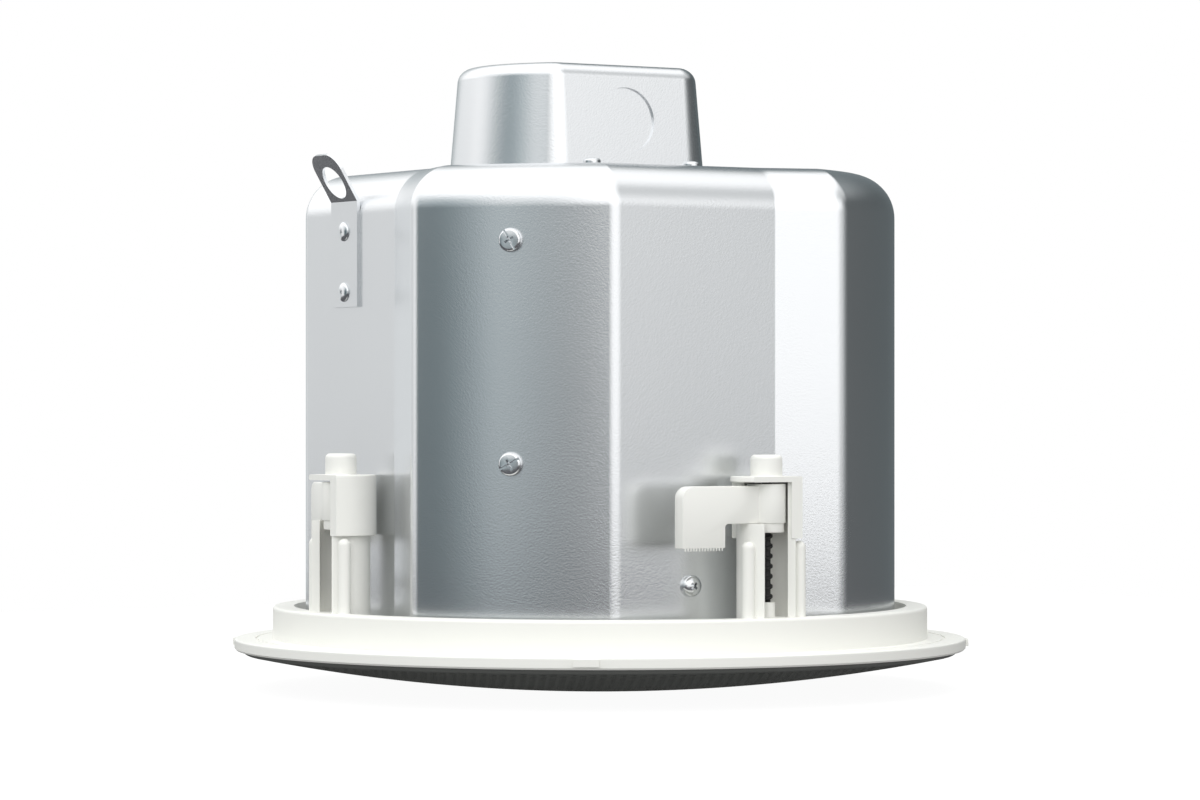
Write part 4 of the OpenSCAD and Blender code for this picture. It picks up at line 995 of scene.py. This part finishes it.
def extrude_side(bm, outline, y0, y1):
    """Extrudes an outline of (x, z) pairs across Y."""
    loft(bm, [[(x, y, z) for x, z in outline] for y in (y0, y1)], True, True)


def ring_tube(bm, outer, inner, steps=48):
    """Turns an outer and an inner profile of (radius, height) pairs about Z into a closed tube."""
    profile = outer + inner
    rings = [[(r * math.cos(2 * math.pi * i / steps), r * math.sin(2 * math.pi * i / steps), z)
              for i in range(steps)] for r, z in profile + profile[:1]]
    rows = loft(bm, rings)
    bmesh.ops.remove_doubles(bm, verts=rows[0] + rows[-1], dist=1e-7)


def soft_rim(r, z, into):
    """Points round a soft edge, from its flat face to its round one. Into is where the body lies."""
    wide, narrow = 0.3, 0.09
    return [(r - wide, z), (r - narrow, z + narrow * into), (r, z + wide * into)]


def arm_mesh(name):
    tip = [(-ARM_REACH + 4 * (1 - math.sin(math.radians(a))), ARM_TOP - 4 * (1 - math.cos(math.radians(a))))
           for a in range(0, 91, 15)]
    heel = -ARM_REACH + FOOT_LEN
    inner = [(heel + 1.2 * (1 - math.cos(math.radians(a))), ARM_Z - 1.2 * (1 - math.sin(math.radians(a))))
             for a in range(0, 91, 15)]
    bm = bmesh.new()
    extrude_side(bm, [(-3, ARM_Z), (-3, ARM_TOP)] + tip + [(-ARM_REACH, ARM_FOOT), (heel, ARM_FOOT)] + inner,
                 ARM_FRONT, ARM_BACK)
    bmesh.ops.recalc_face_normals(bm, faces=bm.faces)
    soften(bm, 0.3)
    ring_tube(bm, [(BORE_R, HUB_TOP)] + soft_rim(HUB_R, HUB_TOP, -1) + soft_rim(HUB_R, ARM_Z, 1)[::-1]
              + [(COLLAR_R, ARM_Z)] + soft_rim(COLLAR_R, COLLAR_Z, 1)[::-1], [(BORE_R, COLLAR_Z)])
    count = int(FOOT_LEN / TOOTH_PITCH)
    first = -ARM_REACH + (FOOT_LEN - count * TOOTH_PITCH) / 2 + TOOTH_PITCH * 0.2
    for i in range(count):
        x = first + i * TOOTH_PITCH
        extrude_side(bm, [(x, ARM_FOOT + 0.2), (x + 0.08, ARM_FOOT - TOOTH_H), (x + 0.38, ARM_FOOT - TOOTH_H),
                          (x + 0.46, ARM_FOOT + 0.2)], ARM_FRONT + 0.05, ARM_FRONT + TOOTH_T)
    return to_mesh(bm, name, 30)


# %% [markdown]
# ## The caps
# A cap closes its tower. It has a disc, a round knob over the end of the screw and a skirt that
# hides half of the hub. The skirt follows the disc's edge for about half a turn. On its outer
# side all of it ends in one flat plane, well inside the neck, so that it passes through the hole
# in the ceiling.

# %% One cap
CAP_Z, CAP_R, CAP_TOP, KNOB_R, KNOB_TOP = 55.3, 11.85, 57.1, 5.25, 64.2
CAP_FLAT = -7.0
SKIRT_Z, SKIRT_IN, SKIRT_FROM, SKIRT_TO = 36.8, 8.8, -128.0, 62.0


def cap_mesh(name):
    bm = bmesh.new()
    knob = [(KNOB_R - 1.5 * (1 - math.cos(math.radians(a))), KNOB_TOP - 1.5 * (1 - math.sin(math.radians(a))))
            for a in range(0, 91, 15)]
    edge = [(CAP_R - 0.3 * (1 - math.cos(math.radians(a))), CAP_TOP - 0.3 * (1 - math.sin(math.radians(a))))
            for a in range(90, -1, -30)]
    revolve(bm, [(0.3, CAP_Z), (CAP_R - 0.25, CAP_Z), (CAP_R, CAP_Z + 0.25)] + edge[::-1]
            + [(KNOB_R + 0.25, CAP_TOP), (KNOB_R, CAP_TOP + 0.25)] + knob + [(0.3, KNOB_TOP)], 64)
    made = to_mesh(bm, name, 30)
    steps = 40
    bm = bmesh.new()
    turns = [math.radians(SKIRT_FROM + (SKIRT_TO - SKIRT_FROM) * i / steps) for i in range(steps + 1)]
    lap = 0.4
    section = [(SKIRT_IN, CAP_Z + lap), (SKIRT_IN, SKIRT_Z + 0.25), (SKIRT_IN + 0.25, SKIRT_Z),
               (CAP_R - 0.25, SKIRT_Z), (CAP_R, SKIRT_Z + 0.25), (CAP_R, CAP_Z + lap)]
    loft(bm, [[(r * math.cos(t), -r * math.sin(t), z) for r, z in section] for t in turns], True, True)
    made = combine(made, to_mesh(bm, name + "_skirt", 30), "UNION", name, 30)
    # What stays is inside a block that reaches past the cap everywhere but on its flat side
    wide, low, high = 20, 20, 80
    bm = bmesh.new()
    extrude_side(bm, [(-wide, low), (wide, low), (wide, high), (-wide, high)], CAP_FLAT, wide)
    return combine(made, to_mesh(bm, name + "_trim"), "INTERSECT", name, 30)


for k in range(1, 5):
    spot = Matrix.Rotation(math.radians(90 * (k - 1)), 4, "Z") @ Matrix.Translation((0, -CLAMP_R * MM, 0))
    arm = arm_mesh(f"moulded_arm_{k}")
    arm.transform(spot @ Matrix.Rotation(math.radians(0 if k == 1 else -ARM_LEAN), 4, "Z"))
    add_piece(arm.name, arm, f"arm_{k}", f"clamp_arm_{k}")
    cap = cap_mesh(f"moulded_cap_{k}")
    cap.transform(spot)
    add_piece(cap.name, cap, "housing", f"clamp_cap_{k}")
print("four arms and four caps")
